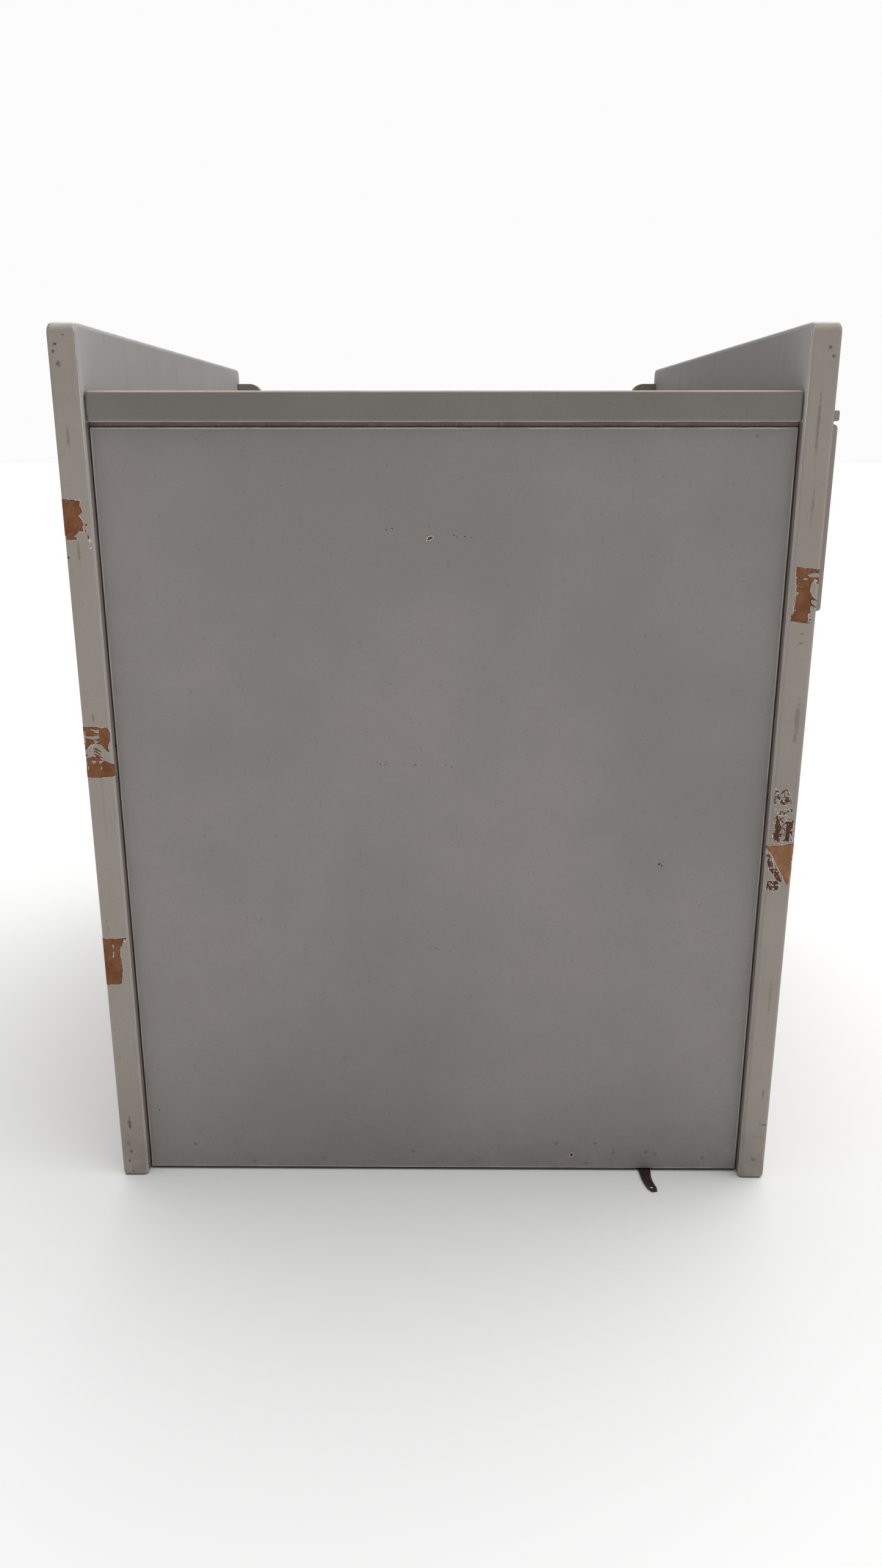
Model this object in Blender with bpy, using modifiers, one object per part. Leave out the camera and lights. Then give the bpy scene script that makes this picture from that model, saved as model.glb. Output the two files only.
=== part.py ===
"""A panel-built stand cabinet for a projector, with a top tray, a drawer, two doors and a side flap.

Metres, +Z up. The back of the cabinet faces -Y, its doors face +Y, and it stands on Z = 0.
Every piece is drawn in cabinet coordinates: X = 0 midway between the side panels, Y = 0 at their back edges.
One empty then shifts the whole cabinet, so that the origin lies under the middle of its bounding box.
"""

import math

import bmesh
import bpy
from mathutils import Matrix, Vector

# Driving dimensions
WIDTH = 0.644
DEPTH = 0.755
HEIGHT = 0.803
PANEL = 0.025
BOARD = 0.019
TOP_Z = 0.750
TOP_SETBACK = 0.005
GAP = 0.0003
CUT_OVER = 0.002
SIDE_CORNER = 0.010
SIDE_ROUND = 0.004
EDGE_ROUND = 0.003
FINE_ROUND = 0.0015
CRISP_EDGE = 0.001

# Back panel and batten
BACK_SETBACK = 0.011
BACK_THICK = 0.016
BACK_BOTTOM = 0.003
BACK_TOP_REVEAL = 0.0035
BACK_SIDE_JOINT = 0.001
STRIP_SETBACK = 0.0022
BATTEN = (0.018, 0.020)
BATTEN_SETBACK = 0.034

# Fronts
FRONT_SETBACK = 0.008
FRONT_THICK = 0.018
FRONT_JOINT = 0.003
HINGE_JOINT = 0.0035
LIP_THICK = 0.018
LIP_BOTTOM = 0.662
LIP_EAR_TOP = 0.7832
LIP_EAR_FLAT = 0.0173
LIP_EAR_ROUND = 0.015
LIP_DIP_TOP = 0.757
LIP_ROUND = 0.0025
FRONT_ROUND = 0.002

# Levels
BOTTOM_Z = 0.057
DIVIDER_Z = 0.500
DOOR_BOTTOM = 0.060
SHELF_Z = 0.280
SHELF_THICK = 0.016
SHELF_Y = (0.060, 0.690)
SHELF_PLAY = 0.0012
SHELF_PIN = 0.0025
SHELF_PIN_Y = (0.110, 0.640)
SHELF_PIN_OUT = 0.009
SHELF_PIN_DEEP = 0.010
PIN_HOLE_PLAY = 0.00035
PIN_HOLE_DEEP = 0.0105
PIN_HOLE_PITCH = 0.032
PIN_HOLE_ROWS = (-2, -1, 0, 1, 2)
INNER_FRONT = 0.727
PLINTH_FRONT = 0.716
PLINTH_THICK = 0.016

# Drawer
DRAWER_SIDE = 0.015
DRAWER_CLEAR = 0.0025
DRAWER_BACK_Y = 0.060
DRAWER_BOX_Z = (0.530, 0.650)
DRAWER_BACK = 0.012
DRAWER_BACK_TOP = 0.640
DRAWER_FLOOR = 0.005
DRAWER_FLOOR_Z = 0.541
DRAWER_FLOOR_BITE = 0.005
RUNNER_Z = 0.590
RUNNER_TALL = 0.016
RUNNER_THICK = 0.0117
RUNNER_Y = (0.065, 0.700)
RUNNER_GROOVE = 0.0105
RUNNER_STOP = 0.016

# Handles, lock and catches
HANDLE_SPAN = 0.096
DRAWER_HANDLE_SPAN = 0.128
HANDLE_ROD = 0.004
HANDLE_REACH = 0.016
HANDLE_CORNER = 0.010
HANDLE_X = 0.045
HANDLE_MID_Z = 0.378
DRAWER_HANDLE_Z = 0.585
LOCK_X = 0.030
LOCK_Z = 0.470
LOCK_BARREL = 0.0087
LOCK_RIM = 0.0104
LOCK_FACE = 0.0018
LOCK_REAR = 0.0275
LOCK_PLUG = 0.005
PLUG_FACE = 0.0016
PLUG_REAR = 0.0305
KEY_SLOT = (0.0064, 0.0012, 0.006)
CAM_REACH = 0.025
CAM_HEEL = 0.007
CAM_HALF = 0.006
CAM_THICK = 0.002
STRIKE_HALF = 0.014
STRIKE_THICK = 0.0015
STRIKE_FOOT = 0.016
STRIKE_DROP = 0.015
STRIKE_CLEAR = 0.0012
CATCH_X = (0.060, 0.095)
CATCH_DEEP = 0.022
CATCH_TALL = 0.0155
PLATE_DROP = (0.016, 0.0015)

# Door hinges
DOOR_AXIS = (0.2934, 0.7503)
DOOR_HINGE_Z = (0.070, 0.498)
HINGE_SHEET = 0.001
HINGE_INSET = 0.0004
HINGE_SEAM = 0.0005
KNUCKLE_LONG = 0.045
KNUCKLE = 0.003
KNUCKLE_STEP = 0.0015
PIN = 0.0015
PIN_PLAY = 0.0003
PIN_END = 0.0006

# Side flap, its hinges and its stay
FLAP_Y = (0.070, 0.690)
FLAP_Z = (0.559, 0.7236)
FLAP_THICK = 0.022
FLAP_STANDOFF = 0.004
CLEAT_Z = (0.7264, 0.7356)
CLEAT_THICK = 0.0262
FLAP_AXIS = (0.3512, 0.7250)
FLAP_HINGE_Y = (0.120, 0.660)
FLAP_LEAF_LONG = 0.018
FLAP_KNUCKLE = 0.0024
FLAP_PIN = 0.0012
BUMPER_Z = 0.590
BUMPER_END = 0.060
BUMPER = 0.005
STAY_RADIUS = 0.060
STAY_PIVOT_X = 0.334
STAY_PIN = 0.0025
STAY_PLAY = 0.0004
STAY_END_PLAY = 0.0006
STAY_END = 0.001
STAY_Y = (0.691, 0.693)
STAY_WIDTH = 0.014
BRACKET_SHEET = 0.002
BRACKET_HALF = 0.014
BRACKET_FOOT = 0.028
TAB_HALF = 0.010
TAB_END = 0.007

# Floor lug: a steel strap that swivels under the bottom board and reaches out behind the back panel
LUG_PIVOT = (0.199, 0.052)
LUG_TIP = (0.2088, -0.0235)
LUG_WIDTH = 0.012
LUG_THICK = 0.002
LUG_HOLE = 0.0024
LUG_EYE_IN = 0.006
LUG_RAISE = 0.0063
LUG_CRANK = (0.0147, 0.0242)
LUG_TAIL = 0.007
LUG_SCREW = 0.0025
LUG_BLOCK = (0.020, 0.018)
LUG_BLOCK_PLAY = 0.0007
LUG_BLOCK_BORE = 0.026

ROOM = WIDTH / 2 - PANEL
FRONT_Y = DEPTH - FRONT_SETBACK
DOOR_INNER_Y = FRONT_Y - FRONT_THICK
SHELF_PIN_Z = SHELF_Z - GAP - SHELF_PIN
FLAP_OUTER = WIDTH / 2 + FLAP_STANDOFF + FLAP_THICK
FACING_FRONT = (-math.pi / 2, 0.0, 0.0)
BOX_X = (-WIDTH / 2, FLAP_AXIS[0] + FLAP_KNUCKLE)
BOX_Y = (LUG_TIP[1] - 0.0015, FRONT_Y + HANDLE_REACH + HANDLE_ROD)

COLOURS = {
    "white_foil": ((0.58, 0.56, 0.53), 0.42, 0.0),
    "grey_foil": ((0.50, 0.49, 0.47), 0.38, 0.0),
    "dark_board": ((0.16, 0.12, 0.10), 0.80, 0.0),
    "beech": ((0.55, 0.37, 0.21), 0.60, 0.0),
    "zinc": ((0.52, 0.53, 0.55), 0.34, 1.0),
    "nickel": ((0.66, 0.64, 0.60), 0.22, 1.0),
    "brown_steel": ((0.08, 0.06, 0.055), 0.50, 1.0),
    "magnet_plastic": ((0.75, 0.74, 0.70), 0.45, 0.0),
    "grey_plastic": ((0.20, 0.20, 0.21), 0.55, 0.0),
    "rubber": ((0.04, 0.04, 0.04), 0.80, 0.0),
}


def clear_scene():
    for thing in list(bpy.data.objects):
        bpy.data.objects.remove(thing)


def make_collection(name):
    group = bpy.data.collections.new(name)
    bpy.context.scene.collection.children.link(group)
    return group


def make_material(name):
    colour, roughness, metallic = COLOURS[name]
    material = bpy.data.materials.new(name)
    material.use_nodes = True
    shader = material.node_tree.nodes["Principled BSDF"]
    shader.inputs["Base Color"].default_value = (*colour, 1.0)
    shader.inputs["Roughness"].default_value = roughness
    shader.inputs["Metallic"].default_value = metallic
    material.diffuse_color = (*colour, 1.0)
    return material


def make_pivot(name, point, parent=None):
    pivot = bpy.data.objects.new(name, None)
    pivot.empty_display_size = 0.02
    PARTS.objects.link(pivot)
    put_under(pivot, parent, point)
    return pivot


def put_under(thing, parent, point):
    """Parents the thing and places its origin at a point given in cabinet coordinates."""
    thing["at"] = list(point)
    thing.parent = parent
    base = Vector(parent["at"]) if parent else Vector((0.0, 0.0, 0.0))
    thing.location = Vector(point) - base


def add_object(name, mesh_maker, slot, origin, parent):
    """Makes a mesh object from a bmesh drawn in cabinet coordinates."""
    mesh = bpy.data.meshes.new(name)
    bmesh.ops.translate(mesh_maker, verts=mesh_maker.verts, vec=-Vector(origin))
    mesh_maker.to_mesh(mesh)
    mesh_maker.free()
    mesh.materials.append(MATERIALS[slot])
    thing = bpy.data.objects.new(name, mesh)
    PARTS.objects.link(thing)
    put_under(thing, parent, origin)
    return thing


def block(shape, low, high):
    """Adds a closed box between two opposite corners."""
    low, high = Vector(low), Vector(high)
    matrix = Matrix.LocRotScale((low + high) / 2, None, high - low)
    bmesh.ops.create_cube(shape, size=1.0, matrix=matrix)


def rod(shape, start, end, radius, sides=16, end_radius=None):
    """Adds a closed cylinder, or a cone, between two points."""
    start, end = Vector(start), Vector(end)
    turn = Vector((0.0, 0.0, 1.0)).rotation_difference(end - start).to_matrix().to_4x4()
    bmesh.ops.create_cone(
        shape,
        cap_ends=True,
        segments=sides,
        radius1=radius,
        radius2=radius if end_radius is None else end_radius,
        depth=(end - start).length,
        matrix=Matrix.Translation((start + end) / 2) @ turn,
    )


def round_edges(thing, radius, segments=2, limit=40.0):
    bevel = thing.modifiers.new("Rounded edges", "BEVEL")
    bevel.width = radius
    bevel.segments = segments
    bevel.limit_method = "ANGLE"
    bevel.angle_limit = math.radians(limit)


def cut(thing, name, shape, operation="DIFFERENCE"):
    """Cuts the drawn shape from the thing, or joins it on."""
    tool = add_object(name, shape, "zinc", thing["at"], thing.parent)
    PARTS.objects.unlink(tool)
    CUTTERS.objects.link(tool)
    tool.hide_render = True
    tool.display_type = "WIRE"
    boolean = thing.modifiers.new(name, "BOOLEAN")
    boolean.operation = operation
    boolean.solver = "EXACT"
    boolean.use_self = operation == "UNION"
    boolean.object = tool


def smooth(thing, angle=35.0):
    thing.data.shade_smooth()
    thing.data.set_sharp_from_angle(angle=math.radians(angle))


def board(name, low, high, slot, radius, segments=2, parent=None):
    """A straight panel with its long edges rounded."""
    shape = bmesh.new()
    block(shape, low, high)
    middle = (Vector(low) + Vector(high)) / 2
    thing = add_object(name, shape, slot, middle, parent or CABINET)
    if radius:
        round_edges(thing, radius, segments)
    return thing


def arc(centre, radius, start, end, steps):
    """Points of an arc in a plane, with angles in degrees."""
    points = []
    for step in range(steps + 1):
        angle = math.radians(start + (end - start) * step / steps)
        points.append((centre[0] + radius * math.cos(angle), centre[1] + radius * math.sin(angle)))
    return points


def plate(name, outline, thickness, slot, origin, turn, parent, radius=0.0):
    """A flat outline drawn as a filled curve, extruded, turned and made a mesh."""
    curve = bpy.data.curves.new(name, "CURVE")
    curve.dimensions = "2D"
    curve.fill_mode = "BOTH"
    curve.extrude = thickness / 2
    spline = curve.splines.new("POLY")
    spline.points.add(len(outline) - 1)
    spline.use_cyclic_u = True
    for point, (x, y) in zip(spline.points, outline):
        point.co = (x, y, 0.0, 1.0)
    sketch = bpy.data.objects.new(name + "_sketch", curve)
    PARTS.objects.link(sketch)
    flat = bpy.data.meshes.new_from_object(sketch)
    bpy.data.objects.remove(sketch)
    shape = bmesh.new()
    shape.from_mesh(flat)
    bpy.data.meshes.remove(flat)
    bmesh.ops.remove_doubles(shape, verts=shape.verts, dist=1e-6)
    bmesh.ops.transform(shape, matrix=Matrix.Translation(origin) @ turn, verts=shape.verts)
    bmesh.ops.recalc_face_normals(shape, faces=shape.faces)
    thing = add_object(name, shape, slot, origin, parent)
    if radius:
        round_edges(thing, radius)
    return thing


def turned(name, profile, slot, base, turn, parent, steps=20):
    """A turned piece: a profile of (radius, height) points, top to bottom, spun about an axis at base."""
    mesh = bpy.data.meshes.new(name)
    points = [(radius, 0.0, height) for radius, height in profile]
    mesh.from_pydata(points, [(n, n + 1) for n in range(len(points) - 1)], [])
    mesh.materials.append(MATERIALS[slot])
    thing = bpy.data.objects.new(name, mesh)
    PARTS.objects.link(thing)
    put_under(thing, parent, base)
    thing.rotation_euler = turn
    screw = thing.modifiers.new("Turned", "SCREW")
    screw.steps = steps
    screw.render_steps = steps
    screw.use_merge_vertices = True
    screw.merge_threshold = 0.00001
    screw.use_smooth_shade = True
    return thing


def side_panel(name, side):
    inner, outer = sorted((side * ROOM, side * WIDTH / 2))
    shape = bmesh.new()
    block(shape, (inner, 0.0, 0.0), (outer, DEPTH, HEIGHT))
    top_corners = [edge for edge in shape.edges if is_top_corner(edge)]
    bmesh.ops.bevel(shape, geom=top_corners, offset=SIDE_CORNER, segments=6, profile=0.5, affect="EDGES")
    middle = (side * (ROOM + PANEL / 2), DEPTH / 2, HEIGHT / 2)
    thing = add_object(name, shape, "white_foil", middle, CABINET)
    round_edges(thing, SIDE_ROUND, 4)
    holes = bmesh.new()
    for y in SHELF_PIN_Y:
        for row in PIN_HOLE_ROWS:
            level = SHELF_PIN_Z + row * PIN_HOLE_PITCH
            mouth = (side * (ROOM - CUT_OVER), y, level)
            rod(holes, mouth, (side * (ROOM + PIN_HOLE_DEEP), y, level), SHELF_PIN + PIN_HOLE_PLAY, 10)
    cut(thing, name + "_pin_holes", holes)
    smooth(thing)


def is_top_corner(edge):
    """True for the two edges across the top corners of an upright panel."""
    first, second = edge.verts
    return min(first.co.z, second.co.z) > HEIGHT / 2 and abs(first.co.x - second.co.x) > PANEL / 2


def carcass():
    side_panel("side_left", -1)
    side_panel("side_right", 1)
    span = ROOM - GAP
    under_top = TOP_Z - PANEL
    lip_back = DEPTH - LIP_THICK
    low = (-span, TOP_SETBACK, under_top)
    board("top_board", low, (span, lip_back - GAP, TOP_Z), "grey_foil", EDGE_ROUND, 3)
    back_half = ROOM - BACK_SIDE_JOINT
    back_front = BACK_SETBACK + BACK_THICK
    low = (-back_half, BACK_SETBACK, BACK_BOTTOM)
    board("back_panel", low, (back_half, back_front, under_top - BACK_TOP_REVEAL), "grey_foil", FINE_ROUND, 3)
    low = (-back_half, BACK_SETBACK + STRIP_SETBACK, under_top - BACK_TOP_REVEAL + GAP)
    board("joint_strip", low, (back_half, back_front, under_top - GAP), "dark_board", 0.0, 1)
    for name, level in (("bottom_board", BOTTOM_Z), ("drawer_divider", DIVIDER_Z)):
        low = (-span, back_front + GAP, level)
        board(name, low, (span, INNER_FRONT, level + BOARD), "white_foil", CRISP_EDGE, 1)
    batten_top = under_top - GAP
    low = (-span, BATTEN_SETBACK, batten_top - BATTEN[1])
    board("top_batten", low, (span, BATTEN_SETBACK + BATTEN[0], batten_top), "beech", 0.0, 1)
    low = (-span, PLINTH_FRONT - PLINTH_THICK, GAP)
    board("plinth", low, (span, PLINTH_FRONT, BOTTOM_Z - GAP), "white_foil", CRISP_EDGE, 1)
    shelf_half = ROOM - SHELF_PLAY
    low = (-shelf_half, SHELF_Y[0], SHELF_Z)
    board("shelf", low, (shelf_half, SHELF_Y[1], SHELF_Z + SHELF_THICK), "white_foil", CRISP_EDGE, 1)
    front_lip(span, lip_back)
    shelf_pins()


def front_lip(span, back):
    """The board along the front of the tray: its top edge dips between two raised ears."""
    ear_start = span - LIP_EAR_FLAT
    ear_foot = ear_start - LIP_EAR_ROUND
    fillet = LIP_EAR_TOP - LIP_EAR_ROUND - LIP_DIP_TOP
    right = [(span, LIP_BOTTOM), (span, LIP_EAR_TOP)]
    right += arc((ear_start, LIP_EAR_TOP - LIP_EAR_ROUND), LIP_EAR_ROUND, 90.0, 180.0, 6)
    right += arc((ear_foot - fillet, LIP_DIP_TOP + fillet), fillet, 0.0, -90.0, 4)[1:]
    left = [(-x, z) for x, z in reversed(right)]
    upright = Matrix.Rotation(math.pi / 2, 4, "X")
    origin = (0.0, back + LIP_THICK / 2, 0.0)
    plate("front_lip", right + left, LIP_THICK, "white_foil", origin, upright, CABINET, LIP_ROUND)


def shelf_pins():
    for hand, side in (("left", -1), ("right", 1)):
        for place, y in zip(("back", "front"), SHELF_PIN_Y):
            shape = bmesh.new()
            inner = (side * (ROOM - SHELF_PIN_OUT), y, SHELF_PIN_Z)
            rod(shape, inner, (side * (ROOM + SHELF_PIN_DEEP), y, SHELF_PIN_Z), SHELF_PIN, 12)
            name = f"shelf_pin_{place}_{hand}"
            smooth(add_object(name, shape, "nickel", (side * ROOM, y, SHELF_PIN_Z), CABINET))


def drawer():
    half = ROOM - DRAWER_CLEAR
    inner = half - DRAWER_SIDE
    box_front = DOOR_INNER_Y - GAP
    front_half = ROOM - FRONT_JOINT
    low = (-front_half, DOOR_INNER_Y, DIVIDER_Z + BOARD / 2 + FRONT_JOINT / 2)
    high = (front_half, FRONT_Y, LIP_BOTTOM - FRONT_JOINT)
    board("drawer_front", low, high, "white_foil", FRONT_ROUND, 2, DRAWER)
    bow_handle("drawer_handle", (0.0, DRAWER_HANDLE_Z), DRAWER_HANDLE_SPAN, False, DRAWER)
    for name, side in (("drawer_side_left", -1), ("drawer_side_right", 1)):
        drawer_side(name, side, half, inner, box_front)
    floor_top = DRAWER_FLOOR_Z + DRAWER_FLOOR
    low = (-inner + GAP, DRAWER_BACK_Y, floor_top + GAP)
    high = (inner - GAP, DRAWER_BACK_Y + DRAWER_BACK, DRAWER_BACK_TOP)
    board("drawer_back", low, high, "beech", 0.0, 1, DRAWER)
    floor_half = inner + DRAWER_FLOOR_BITE - GAP
    low = (-floor_half, DRAWER_BACK_Y, DRAWER_FLOOR_Z)
    board("drawer_bottom", low, (floor_half, box_front, floor_top), "beech", 0.0, 1, DRAWER)
    for name, side in (("runner_left", -1), ("runner_right", 1)):
        low_x, high_x = sorted((side * (ROOM - GAP - RUNNER_THICK), side * (ROOM - GAP)))
        low = (low_x, RUNNER_Y[0], RUNNER_Z - RUNNER_TALL / 2)
        high = (high_x, RUNNER_Y[1], RUNNER_Z + RUNNER_TALL / 2)
        board(name, low, high, "grey_plastic", CRISP_EDGE, 1)


def drawer_side(name, side, half, inner, box_front):
    """A drawer side with a groove outside for its runner and one inside for the drawer's floor."""
    low_x, high_x = sorted((side * inner, side * half))
    low = (low_x, DRAWER_BACK_Y, DRAWER_BOX_Z[0])
    wall = board(name, low, (high_x, box_front, DRAWER_BOX_Z[1]), "beech", 0.0, 1, DRAWER)
    grooves = bmesh.new()
    groove_half = RUNNER_TALL / 2 + GAP
    open_end = DRAWER_BACK_Y - CUT_OVER
    low_x, high_x = sorted((side * (half - RUNNER_GROOVE), side * (half + CUT_OVER)))
    low = (low_x, open_end, RUNNER_Z - groove_half)
    block(grooves, low, (high_x, box_front - RUNNER_STOP, RUNNER_Z + groove_half))
    low_x, high_x = sorted((side * (inner - CUT_OVER), side * (inner + DRAWER_FLOOR_BITE)))
    low = (low_x, open_end, DRAWER_FLOOR_Z - GAP)
    block(grooves, low, (high_x, box_front + CUT_OVER, DRAWER_FLOOR_Z + DRAWER_FLOOR + GAP))
    cut(wall, name + "_grooves", grooves)


def bow_handle(name, middle, span, upright, parent):
    """A bent rod with two feet on the face of a front."""
    corner = (span / 2 - HANDLE_CORNER, HANDLE_REACH - HANDLE_CORNER)
    right = [(span / 2, GAP)] + arc(corner, HANDLE_CORNER, 0.0, 90.0, 5)
    route = right + [(-x, y) for x, y in reversed(right)]
    curve = bpy.data.curves.new(name, "CURVE")
    curve.dimensions = "3D"
    curve.bevel_depth = HANDLE_ROD
    curve.bevel_resolution = 2
    curve.use_fill_caps = True
    spline = curve.splines.new("POLY")
    spline.points.add(len(route) - 1)
    for point, (along, out) in zip(spline.points, route):
        point.co = (0.0, out, along, 1.0) if upright else (along, out, 0.0, 1.0)
    curve.materials.append(MATERIALS["nickel"])
    thing = bpy.data.objects.new(name, curve)
    PARTS.objects.link(thing)
    put_under(thing, parent, (middle[0], FRONT_Y, middle[1]))


def door(side, parent):
    name = "door_left" if side < 0 else "door_right"
    low_x, high_x = sorted((side * (ROOM - HINGE_JOINT), side * FRONT_JOINT / 2))
    top = DIVIDER_Z + BOARD / 2 - FRONT_JOINT / 2
    low = (low_x, DOOR_INNER_Y, DOOR_BOTTOM)
    leaf = board(name, low, (high_x, FRONT_Y, top), "white_foil", FRONT_ROUND, 2, parent)
    bow_handle(name + "_handle", (side * HANDLE_X, HANDLE_MID_Z), HANDLE_SPAN, True, parent)
    low_x, high_x = sorted((side * CATCH_X[0], side * CATCH_X[1]))
    low = (low_x, INNER_FRONT, DIVIDER_Z - PLATE_DROP[0])
    high = (high_x, DOOR_INNER_Y - GAP, DIVIDER_Z - PLATE_DROP[1])
    board(name + "_strike", low, high, "zinc", 0.0, 1, parent)
    return leaf


def knuckle_spans(start, end):
    """Splits a piano hinge into an odd number of knuckles, with a little play between them."""
    count = 2 * round((end - start) / KNUCKLE_LONG / 2) + 1
    pitch = (end - start) / count
    return [(start + n * pitch + GAP / 2, start + (n + 1) * pitch - GAP / 2) for n in range(count)]


def piano_hinge(names, axis, along, span, leaves, tabs, radius, pin_radius, moving_parent):
    """Two leaves with alternate knuckles round one pin.

    axis is the point where the pin's line starts, along its direction, and span its two ends on that line.
    leaves and tabs hold, for the fixed side and then the moving one, the corners of a cross-section.
    """
    spans = knuckle_spans(*span)
    start, line = Vector(axis), Vector(along)
    for side in (0, 1):
        shape, barrels, bores = bmesh.new(), bmesh.new(), bmesh.new()
        low, high = (Vector(corner) for corner in leaves[side])
        block(shape, low + line * span[0], high + line * span[1])
        low, high = (Vector(corner) for corner in tabs[side])
        for near, far in spans[side::2]:
            block(barrels, low + line * near, high + line * far)
            rod(barrels, start + line * near, start + line * far, radius, 12)
        bore_start = start + line * (span[0] - CUT_OVER)
        rod(bores, bore_start, start + line * (span[1] + CUT_OVER), pin_radius + PIN_PLAY, 12)
        parent = moving_parent if side else CABINET
        thing = add_object(names[side], shape, "nickel", start + line * span[0], parent)
        cut(thing, names[side] + "_knuckles", barrels, "UNION")
        cut(thing, names[side] + "_bore", bores)
        smooth(thing)
    pin = bmesh.new()
    pin_start = start + line * (span[0] - PIN_END)
    rod(pin, pin_start, start + line * (span[1] + PIN_END), pin_radius, 10)
    smooth(add_object(names[2], pin, "zinc", start + line * span[0], CABINET))


def door_hinge(side, parent):
    """A piano hinge in the joint between a door and its side panel."""
    hand = "left" if side < 0 else "right"
    axis_y = DOOR_AXIS[1]
    leaf_end = axis_y - KNUCKLE - HINGE_SEAM
    fixed_outer = ROOM - HINGE_INSET
    moving_outer = fixed_outer - HINGE_SHEET - HINGE_SEAM
    leaves, tabs = [], []
    for outer, tab_end in ((fixed_outer, axis_y), (moving_outer, axis_y - KNUCKLE_STEP)):
        low_x, high_x = sorted((side * (outer - HINGE_SHEET), side * outer))
        leaves.append(((low_x, DOOR_INNER_Y, 0.0), (high_x, leaf_end, 0.0)))
        tabs.append(((low_x, leaf_end - HINGE_SHEET, 0.0), (high_x, tab_end, 0.0)))
    names = (f"hinge_{hand}_fixed_leaf", f"hinge_{hand}_door_leaf", f"hinge_{hand}_pin")
    axis = (side * DOOR_AXIS[0], axis_y, 0.0)
    piano_hinge(names, axis, (0.0, 0.0, 1.0), DOOR_HINGE_Z, leaves, tabs, KNUCKLE, PIN, parent)


def lock(leaf):
    """A cam lock in the right door, and the plate under the divider that its cam turns up behind."""
    hole = bmesh.new()
    hole_start = (LOCK_X, DOOR_INNER_Y - CUT_OVER, LOCK_Z)
    rod(hole, hole_start, (LOCK_X, FRONT_Y + CUT_OVER, LOCK_Z), LOCK_BARREL + GAP, 20)
    cut(leaf, "lock_hole", hole)
    bore = LOCK_PLUG + GAP
    soft = HINGE_SEAM
    housing = [
        (bore, LOCK_FACE),
        (LOCK_RIM - soft, LOCK_FACE),
        (LOCK_RIM, LOCK_FACE - soft),
        (LOCK_RIM, GAP),
        (LOCK_BARREL, GAP),
        (LOCK_BARREL, -LOCK_REAR),
        (bore, -LOCK_REAR),
        (bore, LOCK_FACE),
    ]
    turned("lock_housing", housing, "nickel", (LOCK_X, FRONT_Y, LOCK_Z), FACING_FRONT, DOOR_RIGHT)
    plug = bmesh.new()
    plug_front = (LOCK_X, FRONT_Y + PLUG_FACE, LOCK_Z)
    rod(plug, plug_front, (LOCK_X, FRONT_Y - PLUG_REAR, LOCK_Z), LOCK_PLUG, 20)
    thing = add_object("lock_plug", plug, "nickel", (LOCK_X, FRONT_Y, LOCK_Z), LOCK)
    slot = bmesh.new()
    wide, tall, deep = KEY_SLOT
    low = (LOCK_X - wide / 2, FRONT_Y - deep, LOCK_Z - tall / 2)
    block(slot, low, (LOCK_X + wide / 2, FRONT_Y + deep, LOCK_Z + tall / 2))
    cut(thing, "key_slot", slot)
    smooth(thing)
    cam_y = FRONT_Y - LOCK_REAR - GAP
    lock_cam(cam_y)
    lock_strike(cam_y + STRIKE_CLEAR)


def lock_cam(cam_y):
    low = (LOCK_X - CAM_REACH, cam_y - CAM_THICK, LOCK_Z - CAM_HALF)
    cam = board("lock_cam", low, (LOCK_X + CAM_HEEL, cam_y, LOCK_Z + CAM_HALF), "zinc", 0.0, 1, LOCK)
    hole = bmesh.new()
    hole_start = (LOCK_X, cam_y - CAM_THICK - CUT_OVER, LOCK_Z)
    rod(hole, hole_start, (LOCK_X, cam_y + CUT_OVER, LOCK_Z), LOCK_PLUG + GAP, 20)
    cut(cam, "cam_hole", hole)


def lock_strike(strike_y):
    shape = bmesh.new()
    top = DIVIDER_Z - GAP
    low = (LOCK_X - STRIKE_HALF, strike_y, LOCK_Z + STRIKE_DROP)
    block(shape, low, (LOCK_X + STRIKE_HALF, strike_y + STRIKE_THICK, top))
    strike = add_object("lock_strike", shape, "zinc", (LOCK_X, strike_y, DIVIDER_Z), CABINET)
    foot = bmesh.new()
    low = (LOCK_X - STRIKE_HALF, strike_y - STRIKE_FOOT, top - STRIKE_THICK)
    block(foot, low, (LOCK_X + STRIKE_HALF, strike_y + STRIKE_THICK / 3, top))
    cut(strike, "lock_strike_foot", foot, "UNION")


def catches():
    for name, side in (("magnet_catch_left", -1), ("magnet_catch_right", 1)):
        low_x, high_x = sorted((side * CATCH_X[0], side * CATCH_X[1]))
        low = (low_x, INNER_FRONT - CATCH_DEEP, DIVIDER_Z - CATCH_TALL)
        high = (high_x, INNER_FRONT - STRIKE_THICK, DIVIDER_Z - GAP)
        board(name, low, high, "magnet_plastic", CRISP_EDGE, 1)


def flap():
    """A narrow drop-leaf on the right side, hung from a cleat."""
    side = WIDTH / 2
    low = (side + GAP, FLAP_Y[0], CLEAT_Z[0])
    board("flap_cleat", low, (side + CLEAT_THICK, FLAP_Y[1], CLEAT_Z[1]), "white_foil", FINE_ROUND, 2)
    low = (side + FLAP_STANDOFF, FLAP_Y[0], FLAP_Z[0])
    board("flap_leaf", low, (FLAP_OUTER, FLAP_Y[1], FLAP_Z[1]), "white_foil", EDGE_ROUND, 2, FLAP)
    for place, y in (("back", FLAP_Y[0] + BUMPER_END), ("front", FLAP_Y[1] - BUMPER_END)):
        bumper = bmesh.new()
        start = (side + GAP, y, BUMPER_Z)
        rod(bumper, start, (side + FLAP_STANDOFF - GAP, y, BUMPER_Z), BUMPER, 14)
        smooth(add_object("flap_bumper_" + place, bumper, "rubber", (side, y, BUMPER_Z), CABINET))
    flap_hinge()
    stay()


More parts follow.
